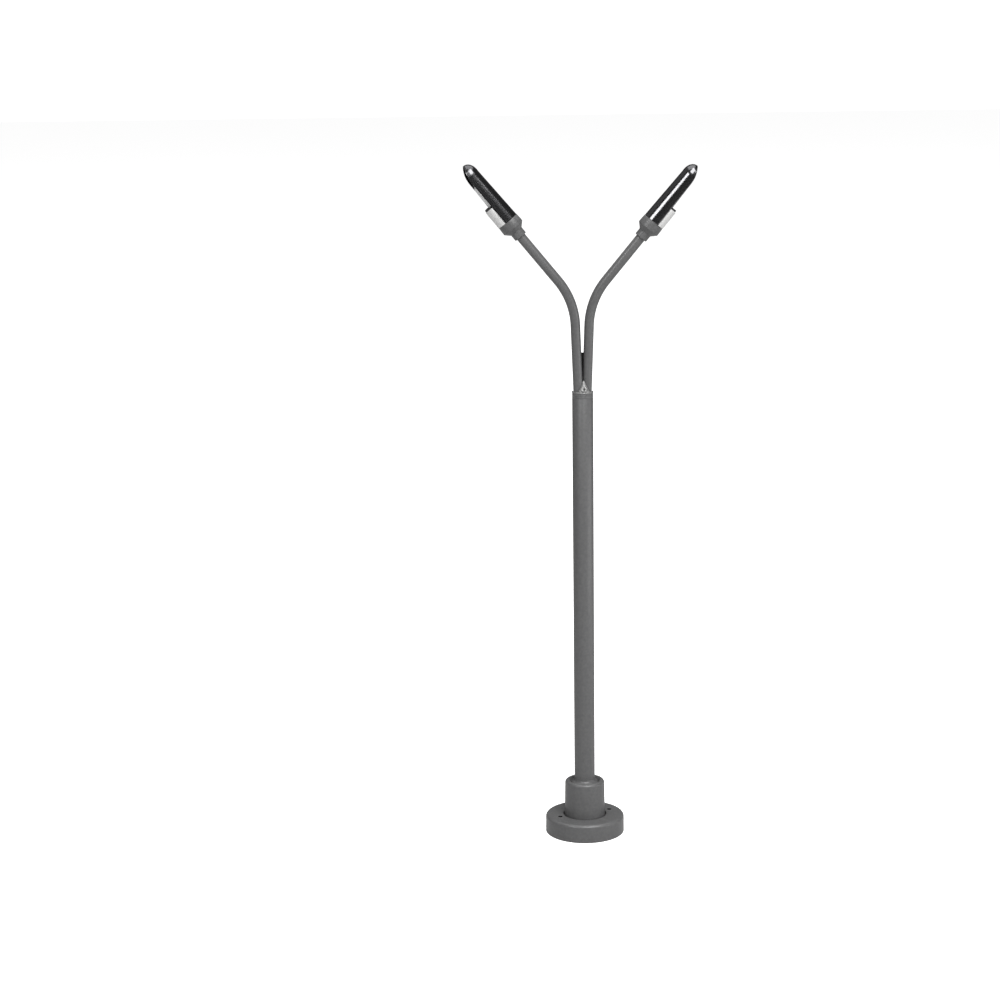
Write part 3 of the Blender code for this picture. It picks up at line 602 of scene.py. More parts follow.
arm_sweep = sweep_tree("whip_arm")
pair_x = ARM_PAIR_OFFSET * math.cos(ARM_PAIR_TURN)
pair_y = ARM_PAIR_OFFSET * math.sin(ARM_PAIR_TURN)
corner_x = pair_x + CORNER_ABOVE_MAST * math.tan(ARM_SPREAD)
bend_turn = ARM_SPREAD + math.acos(head_line("right")[1].z) - 2 * ARM_SPREAD
bend_reach = ARM_BEND_RADIUS * math.tan(bend_turn / 2)
arm_sizes = {
    "Bend Radius": ARM_BEND_RADIUS,
    "Bend Steps": ARM_BEND_STEPS,
    "Tube Radius": ARM_RADIUS,
    "Round Sides": ARM_SIDES,
}
for side, sign in SIDE_SIGN.items():
    mouth, outward = head_line(side)
    in_mast = Vector((sign * pair_x, sign * pair_y, MAST_TOP))
    corner = Vector((sign * corner_x, 0, MAST_TOP + CORNER_ABOVE_MAST))
    upward = Vector((sign * math.sin(ARM_SPREAD), 0, math.cos(ARM_SPREAD)))
    knee = corner - upward * bend_reach * ARM_KNEE_MARGIN
    path = [in_mast - Vector((0, 0, ARM_SEAT)), in_mast, knee, corner, mouth - outward * ARM_SHORT_OF_MOUTH]
    arm = grow(f"{side}_whip_arm", path, arm_sweep, arm_sizes, grey_paint)
    close_wall(arm, ARM_WALL)
    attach(arm, "mast")
    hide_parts(f"{side}_arm_tube")
refinish(["left_live_lead", "right_live_lead"], enamel)

# ---------------------------------------------------------------- solder joint
# Soft solder floods the mast's mouth and climbs between the arms in a small cone, front and back, with a
# pitted bead at its foot. It is left bright, but the pit's hollow is painted near-black as painted shade.
# Two spots of paint have gathered on the mast's rim.

SOLDER_RISE = 0.03 * MM
POOL_SIZE = (1.74 * MM, 1.74 * MM, 0.24 * MM)
LUMP_DETAIL = 4
PEAKS = ((-1, 1.95 * MM, 0.17 * MM), (1, 1.7 * MM, -0.17 * MM))
PEAK_FOOT_RADIUS = 0.95 * MM
PEAK_FOOT_REACH = 0.86 * MM
PEAK_FOOT_RISE = 0.2 * MM
PEAK_TIP_RADIUS = 0.1 * MM
PEAK_TIP_REACH = 0.38 * MM
PEAK_TIP_SHIFT = 0.9
PEAK_SIDES = 32
APRON_OFFSET = 0.1 * MM
APRON_SIZE = (0.85 * MM, 0.5 * MM, 0.42 * MM)
CRATER_PLACE = (0.17 * MM, -1.5 * MM, 0.62 * MM)
CRATER_TILT = math.radians(72)
CRATER_RADIUS = 0.36 * MM
CRATER_LIP = 0.16 * MM
CRATER_LIP_SIDES = 12
CRATER_SIDES = 32
BEADS = (
    ((-0.32 * MM, -1.3 * MM, 0.25 * MM), (0.42 * MM, 0.34 * MM, 0.34 * MM)),
    ((0.66 * MM, -1.28 * MM, 0.22 * MM), (0.4 * MM, 0.3 * MM, 0.3 * MM)),
)
FLOW_VOXEL = 0.035 * MM
FLOW_SMOOTHING = 0.6
FLOW_PASSES = 10
PIT_PLACE = (0.22 * MM, -1.6 * MM, 0.6 * MM)
PIT_RADIUS = 0.18 * MM
PIT_REACH = 1.03
TRIM_SIZE = (6 * MM, 6 * MM, 2 * MM)
TRIM_MARGIN = 0.01 * MM
RIM_SPOT_REACH = 1.69 * MM
RIM_SPOT_RISE = 0.12 * MM
RIM_SPOT_SIZE = (0.11 * MM, 0.24 * MM, 0.19 * MM)

solder = finish_of(
    "solder",
    colours=((0.16, 0.16, 0.16), (0.34, 0.34, 0.335)),
    roughness=(0.3, 0.46),
    bump=0.6,
    clouds=3200,
    grains=9000,
    metallic=0.55,
)
solder_floor = MAST_TOP + SOLDER_RISE


def over_floor(x, y, rise):
    """A point at a height over the solder's floor."""
    return Vector((x, y, solder_floor + rise))


def add_lump(shape, centre, size, turn_z=ARM_PAIR_TURN):
    """A rounded lump with its own length, width and height, turned with the pair of arms."""
    lump = Matrix.Translation(centre) @ Matrix.Rotation(turn_z, 4, "Z") @ Matrix.Diagonal((*size, 1))
    bmesh.ops.create_icosphere(shape, subdivisions=LUMP_DETAIL, radius=1, matrix=lump)


def add_cone(shape, foot, foot_radius, tip, tip_radius):
    """A slender cone between two points."""
    line = tip - foot
    bmesh.ops.create_cone(
        shape,
        cap_ends=True,
        segments=PEAK_SIDES,
        radius1=foot_radius,
        radius2=tip_radius,
        depth=line.length,
        matrix=Matrix.Translation((foot + tip) / 2) @ line.to_track_quat("Z", "Y").to_matrix().to_4x4(),
    )


joint_shape = bmesh.new()
add_lump(joint_shape, over_floor(0, 0, 0), POOL_SIZE)
for sign, height, shift in PEAKS:
    foot = over_floor(shift, sign * PEAK_FOOT_REACH, PEAK_FOOT_RISE)
    tip = over_floor(PEAK_TIP_SHIFT * shift, sign * PEAK_TIP_REACH, height)
    add_cone(joint_shape, foot, PEAK_FOOT_RADIUS, tip, PEAK_TIP_RADIUS)
    add_lump(joint_shape, foot + Vector((0, sign * APRON_OFFSET, APRON_OFFSET)), APRON_SIZE, 0)
lip_angles = [math.tau * i / CRATER_LIP_SIDES for i in range(CRATER_LIP_SIDES)]
crater_outline = [(CRATER_RADIUS + CRATER_LIP * math.cos(a), CRATER_LIP * math.sin(a)) for a in lip_angles]
crater = turn(crater_outline, CRATER_SIDES)
crater.transform(Matrix.Translation(over_floor(*CRATER_PLACE)) @ Matrix.Rotation(CRATER_TILT, 4, "X"))
crater_mesh = bpy.data.meshes.new("crater")
crater.to_mesh(crater_mesh)
joint_shape.from_mesh(crater_mesh)
for spot, size in BEADS:
    add_lump(joint_shape, over_floor(*spot), size)
joint_piece = make_piece("solder_fillet", joint_shape, solder)
blend = joint_piece.modifiers.new("flow", "REMESH")
blend.mode = "VOXEL"
blend.voxel_size = FLOW_VOXEL
flow = joint_piece.modifiers.new("soften", "SMOOTH")
flow.factor = FLOW_SMOOTHING
flow.iterations = FLOW_PASSES
settle(joint_piece)
pit = bmesh.new()
pit_centre = over_floor(*PIT_PLACE)
add_lump(pit, pit_centre, (PIT_RADIUS, PIT_RADIUS, PIT_RADIUS))
cut(joint_piece, pit)
# The pit's hollow takes the near-black painted shade.
joint_piece.data.materials.append(painted_hole_shade)
for face in joint_piece.data.polygons:
    if (face.center - pit_centre).length < PIT_REACH * PIT_RADIUS:
        face.material_index = 1
under = bmesh.new()
under_centre = (0, 0, solder_floor - TRIM_SIZE[2] / 2 - TRIM_MARGIN)
trim = Matrix.Translation(under_centre) @ Matrix.Diagonal((*TRIM_SIZE, 1))
bmesh.ops.create_cube(under, size=1, matrix=trim)
cut(joint_piece, under)
joint_piece.data.shade_smooth()
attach(joint_piece, "mast")
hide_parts("solder_joint")

rim_shape = bmesh.new()
for sign in (-1, 1):
    rim_spot = Vector((sign * RIM_SPOT_REACH, 0, MAST_TOP + RIM_SPOT_RISE))
    add_lump(rim_shape, rim_spot, RIM_SPOT_SIZE, 0)
rim_spots = make_piece("rim_paint_spots", rim_shape, grey_paint)
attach(rim_spots, "mast")

# ---------------------------------------------------------------- painted shade between the arms
# A matt black bead in the narrow slot between the arms, just above the mast's mouth, is painted shade:
# the slot's shadow made into a dark piece. It widens as the slot does and stands a little forward in it.

SLOT_SHADE_BOTTOM = 1.1 * MM
SLOT_SHADE_TOP = 6.65 * MM
SLOT_SHADE_BITE = 0.06 * MM
SLOT_SHADE_FOOT_SHARE = 0.5
SLOT_SHADE_WIDENING = 4
SLOT_SHADE_LEAN = 0.05 * MM
SLOT_SHADE_LEAN_SWEEP = 1.5
SLOT_SHADE_FORWARD = 0.2 * MM
SLOT_SHADE_HALF_DEPTH = 0.1 * MM
SLOT_SHADE_STEPS = 28
SLOT_SHADE_SIDES = 20

# Near-black matt finish for the painted shade in the slot between the arms.
painted_slot_shade = finish_of(
    "painted_slot_shade",
    colours=((0.002, 0.002, 0.002), (0.006, 0.006, 0.006)),
    roughness=(0.7, 0.9),
    bump=0.4,
    clouds=4000,
    Specular_IOR_Level=0.1,
)
slot_shade_shape = bmesh.new()
rings = []
for step in range(SLOT_SHADE_STEPS + 1):
    share = step / SLOT_SHADE_STEPS
    rise = SLOT_SHADE_BOTTOM + (SLOT_SHADE_TOP - SLOT_SHADE_BOTTOM) * share
    gap = 2 * (pair_x + rise * math.tan(ARM_SPREAD) - ARM_RADIUS)
    wide = (gap / 2 + SLOT_SHADE_BITE) * min(1, SLOT_SHADE_FOOT_SHARE + SLOT_SHADE_WIDENING * share)
    lean = SLOT_SHADE_LEAN * (1 - share) ** SLOT_SHADE_LEAN_SWEEP
    ring = []
    for i in range(SLOT_SHADE_SIDES):
        angle = math.tau * i / SLOT_SHADE_SIDES
        depth = SLOT_SHADE_HALF_DEPTH * math.sin(angle) - SLOT_SHADE_FORWARD
        ring.append(slot_shade_shape.verts.new((lean + wide * math.cos(angle), depth, MAST_TOP + rise)))
    rings.append(ring)
for near, far in zip(rings, rings[1:]):
    for i in range(SLOT_SHADE_SIDES):
        slot_shade_shape.faces.new((near[i - 1], near[i], far[i], far[i - 1]))
slot_shade_shape.faces.new(rings[0])
slot_shade_shape.faces.new(rings[-1])
bmesh.ops.triangulate(slot_shade_shape, faces=[f for f in slot_shade_shape.faces if len(f.verts) > 4])
bmesh.ops.recalc_face_normals(slot_shade_shape, faces=slot_shade_shape.faces)
# The dark bead is painted shade standing in the slot between the arms.
slot_shade_piece = make_piece("arm_slot_shade", slot_shade_shape, painted_slot_shade)
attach(slot_shade_piece, "mast")

# ---------------------------------------------------------------- sockets
# Each arm ends in a turned brass cap, painted grey: a neck that slips on the tube, a cone, and a short cup
# that takes the lamp. An insulating carrier with a brass sleeve sits inside.

MOUTH_RADIUS = 1.858 * MM
SOCKET_RADIUS = 1.908 * MM
SOCKET_SWELL = 0.85 * MM
SOCKET_LENGTH = 1.41 * MM
CONE_END = 2.21 * MM
CONE_BREAK = 0.24 * MM
NECK_RADIUS = 1.1 * MM
NECK_BORE = 0.85 * MM
NECK_END = 3.31 * MM
NECK_STEP = 2.29 * MM
CAVITY_RADIUS = 1.648 * MM
CAVITY_DEPTH = 1.3 * MM
PASSAGE_RADIUS = 0.5 * MM
LIP_EASE = 0.03 * MM
SWELL_EASE = 0.6 * MM
SHOULDER_EASE = 0.1 * MM
CONE_EASE = 0.2 * MM
NECK_EASE = 0.12 * MM
NECK_BORE_EASE = 0.05 * MM
CAVITY_EASE = 0.02 * MM
SOCKET_EASE_STEPS = 6
SOCKET_SIDES = 112
HEAD_ROLL = {"left": math.radians(10), "right": 0.0}
LENGTHWISE = Matrix.Rotation(math.pi / 2, 4, "Y")


def head_place(side):
    """Places a lamp built along +X from the socket's mouth, with its back up."""
    mouth, outward = head_line(side)
    back = Vector((-SIDE_SIGN[side] * outward.z, 0, abs(outward.x)))
    axes = Matrix((outward, back.cross(outward), back)).transposed()
    return Matrix.Translation(mouth) @ (axes @ Matrix.Rotation(HEAD_ROLL[side], 3, "X")).to_4x4()


socket_corners = [
    (MOUTH_RADIUS, 0, LIP_EASE),
    (SOCKET_RADIUS, -SOCKET_SWELL, SWELL_EASE),
    (SOCKET_RADIUS, -SOCKET_LENGTH, SHOULDER_EASE),
    (NECK_RADIUS + CONE_BREAK, CONE_BREAK - CONE_END, CONE_EASE),
    (NECK_RADIUS, -CONE_END, NECK_EASE),
    (NECK_RADIUS, -NECK_END, SHOULDER_EASE),
    (NECK_BORE, -NECK_END, NECK_BORE_EASE),
    (NECK_BORE, -NECK_STEP, 0),
    (PASSAGE_RADIUS, -NECK_STEP, 0),
    (PASSAGE_RADIUS, -CAVITY_DEPTH, CAVITY_EASE),
    (CAVITY_RADIUS, -CAVITY_DEPTH, CAVITY_EASE),
    (CAVITY_RADIUS, 0, LIP_EASE),
]
socket_outline = rounded(socket_corners, SOCKET_EASE_STEPS)
for side in SIDE_SIGN:
    cap = turn(socket_outline, SOCKET_SIDES)
    socket = make_piece(f"{side}_cap", cap, grey_paint, head_place(side) @ LENGTHWISE)
    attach(socket, f"{side}_head")
    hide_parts(f"{side}_socket")
    refinish([f"{side}_contact_carrier"], black_plastic)
    refinish([f"{side}_centre_sleeve"], brass)

# ---------------------------------------------------------------- shades
# The shade is a drawn metal trough plated in black chrome: a half round back with straight skirts, closed by
# a bullet nose whose rim rises to a beak. It tapers a little towards the nose.

SHADE_RADIUS = 1.828 * MM
SHADE_TAPER = math.radians(1.5)
SHADE_WALL = 0.13 * MM
SHADE_LENGTH = 11.42 * MM
SHADE_START = 0.03 * MM
NOSE_LENGTH = 2.1 * MM
BEAK_HEIGHT = 0.2 * MM
RIM_DROP = 0.72 * MM
RIM_RISE_LENGTH = 3.0 * MM
MOUTH_BAND = 0.07 * MM
RIM_BEVEL = 0.03 * MM
RIM_BEVEL_STEPS = 2
RIM_BEVEL_ANGLE = math.radians(50)
SHADE_BACK_STEPS = 56
SHADE_SKIRT_STEPS = 4
SHADE_RUN_STEPS = 14
NOSE_STEPS = 26

black_chrome = finish_of(
    "black_chrome",
    colours=((0.085, 0.085, 0.088), (0.14, 0.14, 0.145)),
    roughness=(0.13, 0.22),
    bump=0.06,
    clouds=3600,
    metallic=1.0,
    dusty=(0.08, (0.2, 0.2, 0.2)),
)


def shade_row(x, wall):
    """The outline of the trough at a distance from the mouth, from one rim over the back to the other."""
    nose_start = SHADE_LENGTH - NOSE_LENGTH
    along_nose = min(max((x - nose_start) / (NOSE_LENGTH - wall), 0), 1)
    half = SHADE_RADIUS - math.tan(SHADE_TAPER) * min(x, nose_start) - wall
    half *= math.sqrt(1 - along_nose**2)
    centre = BEAK_HEIGHT * along_nose
    rise = max((x - SHADE_LENGTH + RIM_RISE_LENGTH) / RIM_RISE_LENGTH, 0)
    rim = min(-RIM_DROP + (RIM_DROP + BEAK_HEIGHT) * rise**2, centre)
    skirt = [(half, rim + (centre - rim) * i / SHADE_SKIRT_STEPS) for i in range(SHADE_SKIRT_STEPS)]
    angles = [math.pi * i / SHADE_BACK_STEPS for i in range(SHADE_BACK_STEPS + 1)]
    back = [(half * math.cos(a), centre + half * math.sin(a)) for a in angles]
    return [Vector((x, y, z)) for y, z in [*skirt, *back, *((-y, z) for y, z in skirt[::-1])]]


def shade_shape():
    """The shade: an outer and an inner skin from the mouth to the beak, joined along mouth and rims."""
    nose_start = SHADE_LENGTH - NOSE_LENGTH
    nose = [math.sin(math.pi / 2 * i / NOSE_STEPS) for i in range(1, NOSE_STEPS)]
    straight = nose_start - SHADE_START
    run = [SHADE_START + straight * i / SHADE_RUN_STEPS for i in range(SHADE_RUN_STEPS + 1)]
    run.insert(1, SHADE_START + MOUTH_BAND)
    shape = bmesh.new()
    skins = []
    for wall in (0, SHADE_WALL):
        reach = NOSE_LENGTH - wall
        rows = [shade_row(x, wall) for x in [*run, *(nose_start + reach * share for share in nose)]]
        beak = shape.verts.new((nose_start + reach, 0, BEAK_HEIGHT))
        skins.append(([[shape.verts.new(point) for point in row] for row in rows], beak))
    for rows, beak in skins:
        for near, far in zip(rows, rows[1:]):
            for i in range(len(near) - 1):
                shape.faces.new((near[i], near[i + 1], far[i + 1], far[i]))
        for i in range(len(rows[-1]) - 1):
            shape.faces.new((rows[-1][i], rows[-1][i + 1], beak))
    (outer, outer_beak), (inner, inner_beak) = skins
    for i in range(len(outer[0]) - 1):
        shape.faces.new((outer[0][i], outer[0][i + 1], inner[0][i + 1], inner[0][i]))
    for edge in (0, -1):
        for near, far, near_in, far_in in zip(outer, outer[1:], inner, inner[1:]):
            shape.faces.new((near[edge], far[edge], far_in[edge], near_in[edge]))
        shape.faces.new((outer[-1][edge], outer_beak, inner_beak, inner[-1][edge]))
    bmesh.ops.recalc_face_normals(shape, faces=shape.faces)
    return shape


for side in SIDE_SIGN:
    shade = make_piece(f"{side}_trough", shade_shape(), black_chrome, head_place(side))
    rim = shade.modifiers.new("rim", "BEVEL")
    rim.width = RIM_BEVEL
    rim.segments = RIM_BEVEL_STEPS
    rim.limit_method = "ANGLE"
    rim.angle_limit = RIM_BEVEL_ANGLE
    settle(shade)
    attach(shade, f"{side}_lamp")
    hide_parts(f"{side}_shade")

# ---------------------------------------------------------------- bulb holders and washers
# A white moulded block fills the trough behind the bulb and bulges below its rim, with a stub that plugs
# into the socket. A thin black washer covers its front.

HOLDER_LENGTH = 3.36 * MM
HOLDER_RADIUS = 1.888 * MM
HOLDER_TAIL_RADIUS = 1.468 * MM
HOLDER_TAIL_LENGTH = 0.48 * MM
HOLDER_BORE_DEPTH = 2.1 * MM
HOLDER_START = 0.03 * MM
HOLDER_EASE = 0.09 * MM
HOLDER_EASE_STEPS = 6
SHADE_GAP = 0.05 * MM
WASHER_THICKNESS = 0.3 * MM
WASHER_INSET = 0.13 * MM
WASHER_GAP = 0.03 * MM
BULB_RADIUS = 1.08 * MM
BULB_GAP = 0.03 * MM
PIN_BORE = 0.21 * MM
PIN_BORE_END = 0.53 * MM
PIN_BORE_SIDES = 24
ROD_SIDES = 48
HOLDER_STEPS = 32

white_plastic = finish_of(
    "white_plastic",
    colours=((0.54, 0.54, 0.535), (0.64, 0.64, 0.635)),
    roughness=(0.35, 0.5),
    bump=0.15,
    clouds=1600,
    grains=10000,
)


def holder_row(x, inset):
    """A section that fills the trough above its rim and bulges in a round belly below it."""
    half = SHADE_RADIUS - math.tan(SHADE_TAPER) * x - SHADE_WALL - SHADE_GAP - inset
    belly = HOLDER_RADIUS - inset
    half = min(half, math.sqrt(belly**2 - RIM_DROP**2))
    below = math.atan2(RIM_DROP, half)
    over = [math.pi * i / HOLDER_STEPS for i in range(HOLDER_STEPS + 1)]
    points = [(half * math.cos(a), half * math.sin(a)) for a in over]
    points.append((-half, -RIM_DROP))
    for i in range(1, HOLDER_STEPS):
        a = math.pi + below + (math.pi - 2 * below) * i / HOLDER_STEPS
        points.append((belly * math.cos(a), belly * math.sin(a)))
    points.append((half, -RIM_DROP))
    return [Vector((x, y, z)) for y, z in points]


def block(rows):
    """A solid through a row of sections that all have as many points."""
    shape = bmesh.new()
    rings = [[shape.verts.new(point) for point in row] for row in rows]
    for near, far in zip(rings, rings[1:]):
        for i in range(len(near)):
            shape.faces.new((near[i - 1], near[i], far[i], far[i - 1]))
    shape.faces.new(rings[0])
    shape.faces.new(rings[-1])
    bmesh.ops.recalc_face_normals(shape, faces=shape.faces)
    return shape


def rod(radius, low, high, sides=ROD_SIDES):
    """A plain round rod along Z."""
    return turn([(0, low), (radius, low), (radius, high), (0, high)], sides)


bulb_back = HOLDER_LENGTH - HOLDER_BORE_DEPTH
for side in SIDE_SIGN:
    holder_rows = [holder_row(HOLDER_START, 0)]
    for step in range(HOLDER_EASE_STEPS + 1):
        angle = math.pi / 2 * step / HOLDER_EASE_STEPS
        reach = HOLDER_LENGTH - HOLDER_EASE * (1 - math.sin(angle))
        holder_rows.append(holder_row(reach, HOLDER_EASE * (1 - math.cos(angle))))
    holder = make_piece(f"{side}_holder", block(holder_rows), white_plastic, head_place(side))
    for shape, operation in (
        (rod(HOLDER_TAIL_RADIUS, -HOLDER_TAIL_LENGTH, bulb_back / 2), "UNION"),
        (rod(BULB_RADIUS + BULB_GAP, bulb_back, 2 * HOLDER_LENGTH), "DIFFERENCE"),
        (rod(PIN_BORE, -HOLDER_LENGTH, PIN_BORE_END, PIN_BORE_SIDES), "DIFFERENCE"),
    ):
        shape.transform(head_place(side) @ LENGTHWISE)
        cut(holder, shape, operation)
    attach(holder, f"{side}_lamp")
    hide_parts(f"{side}_bulb_holder")

    washer_back = HOLDER_LENGTH + WASHER_GAP
    washer_front = washer_back + WASHER_THICKNESS
    washer_rows = [
        holder_row(washer_back, WASHER_INSET),
        holder_row(washer_front - EDGE_EASE, WASHER_INSET),
        holder_row(washer_front, WASHER_INSET + EDGE_EASE),
    ]
    disc = make_piece(f"{side}_insulating_disc", block(washer_rows), black_plastic, head_place(side))
    hole = rod(BULB_RADIUS + BULB_GAP, 0, 2 * HOLDER_LENGTH)
    hole.transform(head_place(side) @ LENGTHWISE)
    cut(disc, hole)
    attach(disc, f"{side}_lamp")
    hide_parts(f"{side}_washer")
    refinish([f"{side}_lamp_pin", f"{side}_return_clip"], brass)

# ---------------------------------------------------------------- bulbs
# A tubular grain-of-wheat bulb: a clear glass tube with a rounded tip, and inside it a coiled tungsten
# filament on an arch between its two ends.

BULB_WALL = 0.2 * MM
BULB_LENGTH = 6.6 * MM
BULB_TIP_RADIUS = 0.92 * MM
BULB_SEAT_GAP = 0.03 * MM
BULB_TIP_STEPS = 20
BULB_SIDES = 64
FILAMENT_SPAN = 0.9 * MM
FILAMENT_LENGTH = 3.4 * MM
FILAMENT_INSET = 0.03 * MM
ARCH_STEPS = 24
COIL_RADIUS = 0.075 * MM
COIL_WIRE = 0.022 * MM
COIL_TURNS = 46
COIL_STEPS = 10
COIL_WIRE_SIDES = 6

glass = finish_of(
    "glass",
    colours=((0.76, 0.765, 0.765), (0.86, 0.865, 0.865)),
    roughness=(0.05, 0.16),
    bump=0.08,
    clouds=1200,
    Transmission_Weight=0.3,
    IOR=1.47,
)
tungsten = finish_of(
    "tungsten",
    colours=((0.24, 0.235, 0.23), (0.36, 0.35, 0.34)),
    roughness=(0.35, 0.5),
    bump=0.2,
    clouds=4000,
    metallic=1.0,
)


def coil_tree():
    """Winds a fine wire round a path."""
    made = bpy.data.node_groups.new("filament_coil", "GeometryNodeTree")
    made.interface.new_socket("Path", in_out="INPUT", socket_type="NodeSocketGeometry")
    for label, kind in (
        ("Wound Points", "NodeSocketInt"),
        ("Turn Step", "NodeSocketFloat"),
        ("Coil Radius", "NodeSocketFloat"),
        ("Wire Radius", "NodeSocketFloat"),
        ("Finish", "NodeSocketMaterial"),
    ):
        made.interface.new_socket(label, in_out="INPUT", socket_type=kind)
    made.interface.new_socket("Coil", in_out="OUTPUT", socket_type="NodeSocketGeometry")
    given = made.nodes.new("NodeGroupInput").outputs
    line = node(made, "GeometryNodeMeshToCurve", Mesh=given["Path"])
    points = node(made, "GeometryNodeResampleCurve", Curve=line.outputs[0], Count=given["Wound Points"])
    index = node(made, "GeometryNodeInputIndex")
    angle = node(
        made, "ShaderNodeMath", {"operation": "MULTIPLY"}, i0=index.outputs[0], i1=given["Turn Step"]
    )
    cosine = node(made, "ShaderNodeMath", {"operation": "COSINE"}, i0=angle.outputs[0])
    sine = node(made, "ShaderNodeMath", {"operation": "SINE"}, i0=angle.outputs[0])
    tangent = node(made, "GeometryNodeInputTangent")
    upright = node(made, "ShaderNodeVectorMath", {"operation": "CROSS_PRODUCT"}, i0=tangent.outputs[0])
    upright.inputs[1].default_value = (0, 1, 0)
    over = node(made, "ShaderNodeVectorMath", {"operation": "NORMALIZE"}, i0=upright.outputs[0])
    sideways = node(
        made,
        "ShaderNodeVectorMath",
        {"operation": "CROSS_PRODUCT"},
        i0=tangent.outputs[0],
        i1=over.outputs[0],
    )
    scale = {"operation": "SCALE"}
    first = node(made, "ShaderNodeVectorMath", scale, i0=over.outputs[0], Scale=cosine.outputs[0])
    second = node(made, "ShaderNodeVectorMath", scale, i0=sideways.outputs[0], Scale=sine.outputs[0])
    both = node(
        made, "ShaderNodeVectorMath", {"operation": "ADD"}, i0=first.outputs[0], i1=second.outputs[0]
    )
    out = node(made, "ShaderNodeVectorMath", scale, i0=both.outputs[0], Scale=given["Coil Radius"])
    wound = node(made, "GeometryNodeSetPosition", Geometry=points.outputs[0], Offset=out.outputs[0])
    section = node(
        made, "GeometryNodeCurvePrimitiveCircle", Resolution=COIL_WIRE_SIDES, Radius=given["Wire Radius"]
    )
    swept = node(made, "GeometryNodeCurveToMesh", Curve=wound.outputs[0])
    made.links.new(section.outputs[0], swept.inputs["Profile Curve"])
    swept.inputs["Fill Caps"].default_value = True
    real = node(made, "GeometryNodeRealizeInstances", i0=swept.outputs[0])
    painted = node(made, "GeometryNodeSetMaterial", Geometry=real.outputs[0], Material=given["Finish"])
    made.links.new(painted.outputs[0], made.nodes.new("NodeGroupOutput").inputs[0])
    return made


glass_back = bulb_back + BULB_SEAT_GAP
glass_tip = glass_back + BULB_LENGTH
tip_centre = glass_tip - BULB_TIP_RADIUS
outside = [(BULB_RADIUS, glass_back)]
inside = [(BULB_RADIUS - BULB_WALL, glass_back)]
for step in range(BULB_TIP_STEPS + 1):
    angle = math.pi / 2 * step / BULB_TIP_STEPS
    reach = BULB_TIP_RADIUS * math.cos(angle) if step < BULB_TIP_STEPS else 0
    reach_in = (BULB_TIP_RADIUS - BULB_WALL) * math.cos(angle) if step < BULB_TIP_STEPS else 0
    outside.append((reach, tip_centre + BULB_TIP_RADIUS * math.sin(angle)))
    inside.append((reach_in, tip_centre + (BULB_TIP_RADIUS - BULB_WALL) * math.sin(angle)))
bulb_outline = [*inside[::-1], *outside]

coil = coil_tree()
coil_sizes = {
    "Wound Points": COIL_TURNS * COIL_STEPS,
    "Turn Step": math.tau / COIL_STEPS,
    "Coil Radius": COIL_RADIUS,
    "Wire Radius": COIL_WIRE,
}
half_span = FILAMENT_SPAN / 2
arch_centre = glass_back + FILAMENT_LENGTH - half_span
arch = [math.pi * i / ARCH_STEPS for i in range(ARCH_STEPS + 1)]
for side in SIDE_SIGN:
    bulb = make_piece(f"{side}_bulb", turn(bulb_outline, BULB_SIDES), glass, head_place(side) @ LENGTHWISE)
    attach(bulb, f"{side}_lamp")
    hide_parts(f"{side}_bulb_glass")

    line = [Vector((glass_back + FILAMENT_INSET, half_span, 0))]
    line += [Vector((arch_centre + half_span * math.sin(a), half_span * math.cos(a), 0)) for a in arch]
    line.append(Vector((glass_back + FILAMENT_INSET, -half_span, 0)))
    line = [head_place(side) @ point for point in line]
    wire = grow(f"{side}_filament_coil", line, coil, coil_sizes, tungsten)
    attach(wire, f"{side}_lamp")
    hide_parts(f"{side}_filament")

# ---------------------------------------------------------------- floor, camera and light
# The lamp stands on a plain white sweep. A large softbox high at the right front lights it and a narrow one
# at the left front draws the streak on the plated shade. A low one at the right, a weak one at the left back
# and a wide one overhead fill the shadows.

FLOOR_HALF = 4.0
PAPER_WHITE = 0.9
PAPER_GLOW = 0.86
PAPER_BOUNCE = 0.5
BACKDROP_GLOW = 1.1
ROOM_GLOW = 0.12
CAMERA_LENS = 79.24
CAMERA_SENSOR = 36
CAMERA_CLIP = 0.01
CAMERA_PLACE = (-0.01389, -0.360, 0.13245)
CAMERA_DOWN = math.radians(11.65)
CAMERA_ROLL = math.radians(-0.756)

scene = bpy.context.scene
scene.view_settings.view_transform = "Standard"

floor_mesh = bpy.data.meshes.new("floor")
floor_corners = [(FLOOR_HALF * x, FLOOR_HALF * y, 0) for x, y in ((-1, -1), (1, -1), (1, 1), (-1, 1))]
floor_mesh.from_pydata(floor_corners, [], [(0, 1, 2, 3)])
floor = bpy.data.objects.new("floor", floor_mesh)
scene.collection.objects.link(floor)
paper = bpy.data.materials.new("floor_paper")
paper.use_nodes = True
tree = paper.node_tree
sheet_shader = tree.nodes["Principled BSDF"]
sheet_shader.inputs["Base Color"].default_value = (PAPER_WHITE, PAPER_WHITE, PAPER_WHITE, 1)
sheet_shader.inputs["Roughness"].default_value = 0.9
sheet_shader.inputs["Emission Color"].default_value = (1, 1, 1, 1)
sheet_shader.inputs["Emission Strength"].default_value = PAPER_GLOW
bounce = node(tree, "ShaderNodeBsdfDiffuse", Color=(PAPER_BOUNCE, PAPER_BOUNCE, PAPER_BOUNCE, 1))
rays = node(tree, "ShaderNodeLightPath")
seen = node(tree, "ShaderNodeMixShader", i0=rays.outputs["Is Camera Ray"], i1=bounce.outputs[0])
tree.links.new(sheet_shader.outputs[0], seen.inputs[2])
tree.links.new(seen.outputs[0], tree.nodes["Material Output"].inputs["Surface"])
floor_mesh.materials.append(paper)

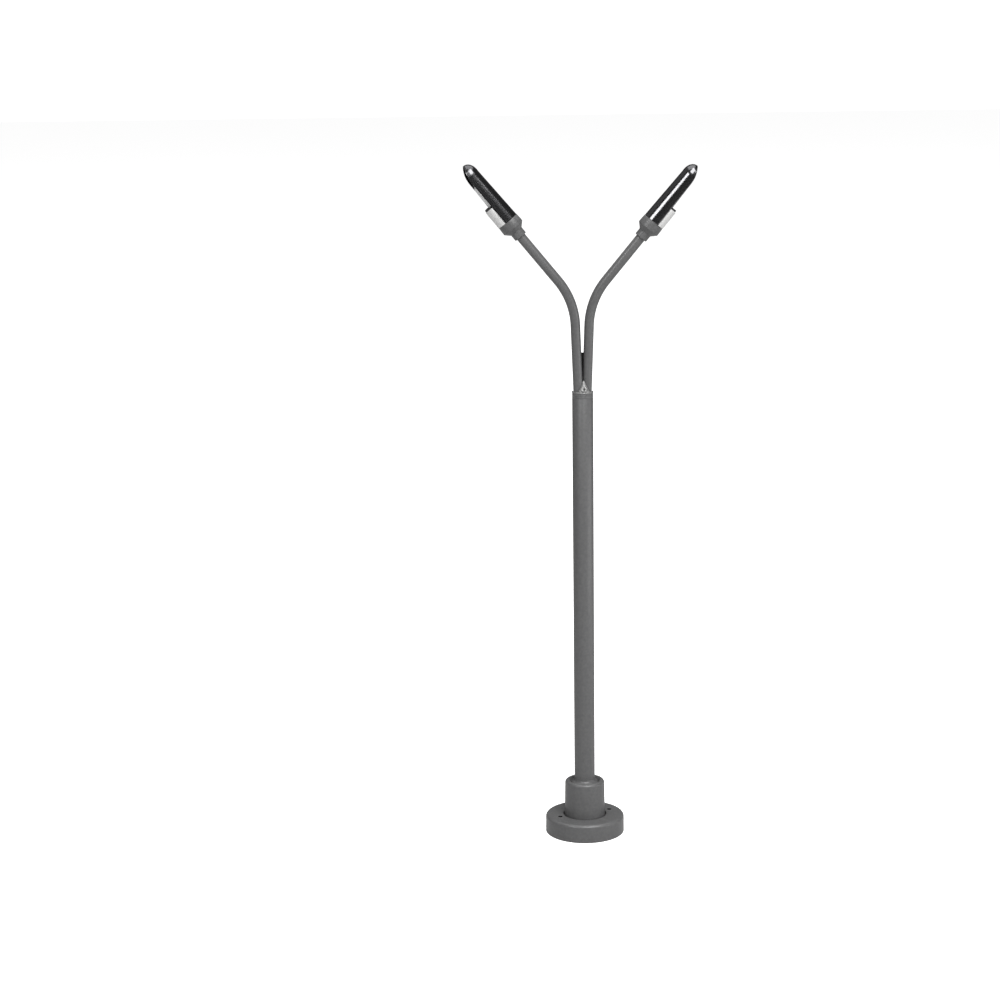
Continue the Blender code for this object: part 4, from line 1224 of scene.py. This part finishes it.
studio = bpy.data.worlds.new("studio")
studio.use_nodes = True
scene.world = studio
tree = studio.node_tree
backdrop = tree.nodes["Background"]
backdrop.inputs["Color"].default_value = (1, 1, 1, 1)
backdrop.inputs["Strength"].default_value = BACKDROP_GLOW
room = node(tree, "ShaderNodeBackground", Color=(1, 1, 1, 1), Strength=ROOM_GLOW)
rays = node(tree, "ShaderNodeLightPath")
seen = node(tree, "ShaderNodeMixShader", i0=rays.outputs["Is Camera Ray"], i1=room.outputs[0])
tree.links.new(backdrop.outputs[0], seen.inputs[2])
tree.links.new(seen.outputs[0], tree.nodes["World Output"].inputs["Surface"])


def softbox(name, towards, distance, size, watts, spin=0.0, aim=(0, 0, 0.1)):
    """An area light in a given direction from the point it is aimed at, spun about its own axis."""
    data = bpy.data.lights.new(name, "AREA")
    data.shape = "RECTANGLE"
    data.size, data.size_y = size
    data.energy = watts
    lamp = bpy.data.objects.new(name, data)
    scene.collection.objects.link(lamp)
    direction = Vector(towards).normalized()
    facing = direction.to_track_quat("Z", "Y").to_matrix().to_4x4()
    spun = Matrix.Rotation(spin, 4, "Z")
    lamp.matrix_world = Matrix.Translation(Vector(aim) + direction * distance) @ facing @ spun


softbox(
    "key_softbox",
    towards=(0.238, -0.653, 0.719),
    distance=1.0,
    size=(0.76, 0.64),
    watts=12.8,
    spin=math.radians(30),
)
softbox(
    "strip_softbox",
    towards=(-0.547, -0.696, 0.463),
    distance=0.6,
    size=(0.27, 0.09),
    watts=1.0,
    spin=math.radians(-30),
    aim=(0.016, 0, 0.11),
)
softbox(
    "right_softbox", towards=(0.925, -0.337, 0.07), distance=0.6, size=(0.6, 0.3), watts=1.4, aim=(0, 0, 0)
)
softbox("side_softbox", towards=(-0.78, 0.25, 0.57), distance=0.8, size=(0.7, 0.7), watts=0.35)
softbox("top_softbox", towards=(0.0, 0.1, 1.0), distance=0.8, size=(0.9, 0.9), watts=5.0)

camera_data = bpy.data.cameras.new("camera")
camera_data.lens = CAMERA_LENS
camera_data.sensor_width = CAMERA_SENSOR
camera_data.clip_start = CAMERA_CLIP
camera = bpy.data.objects.new("camera", camera_data)
scene.collection.objects.link(camera)
camera.matrix_world = (
    Matrix.Translation(CAMERA_PLACE)
    @ Matrix.Rotation(math.pi / 2 - CAMERA_DOWN, 4, "X")
    @ Matrix.Rotation(CAMERA_ROLL, 4, "Z")
)
scene.camera = camera
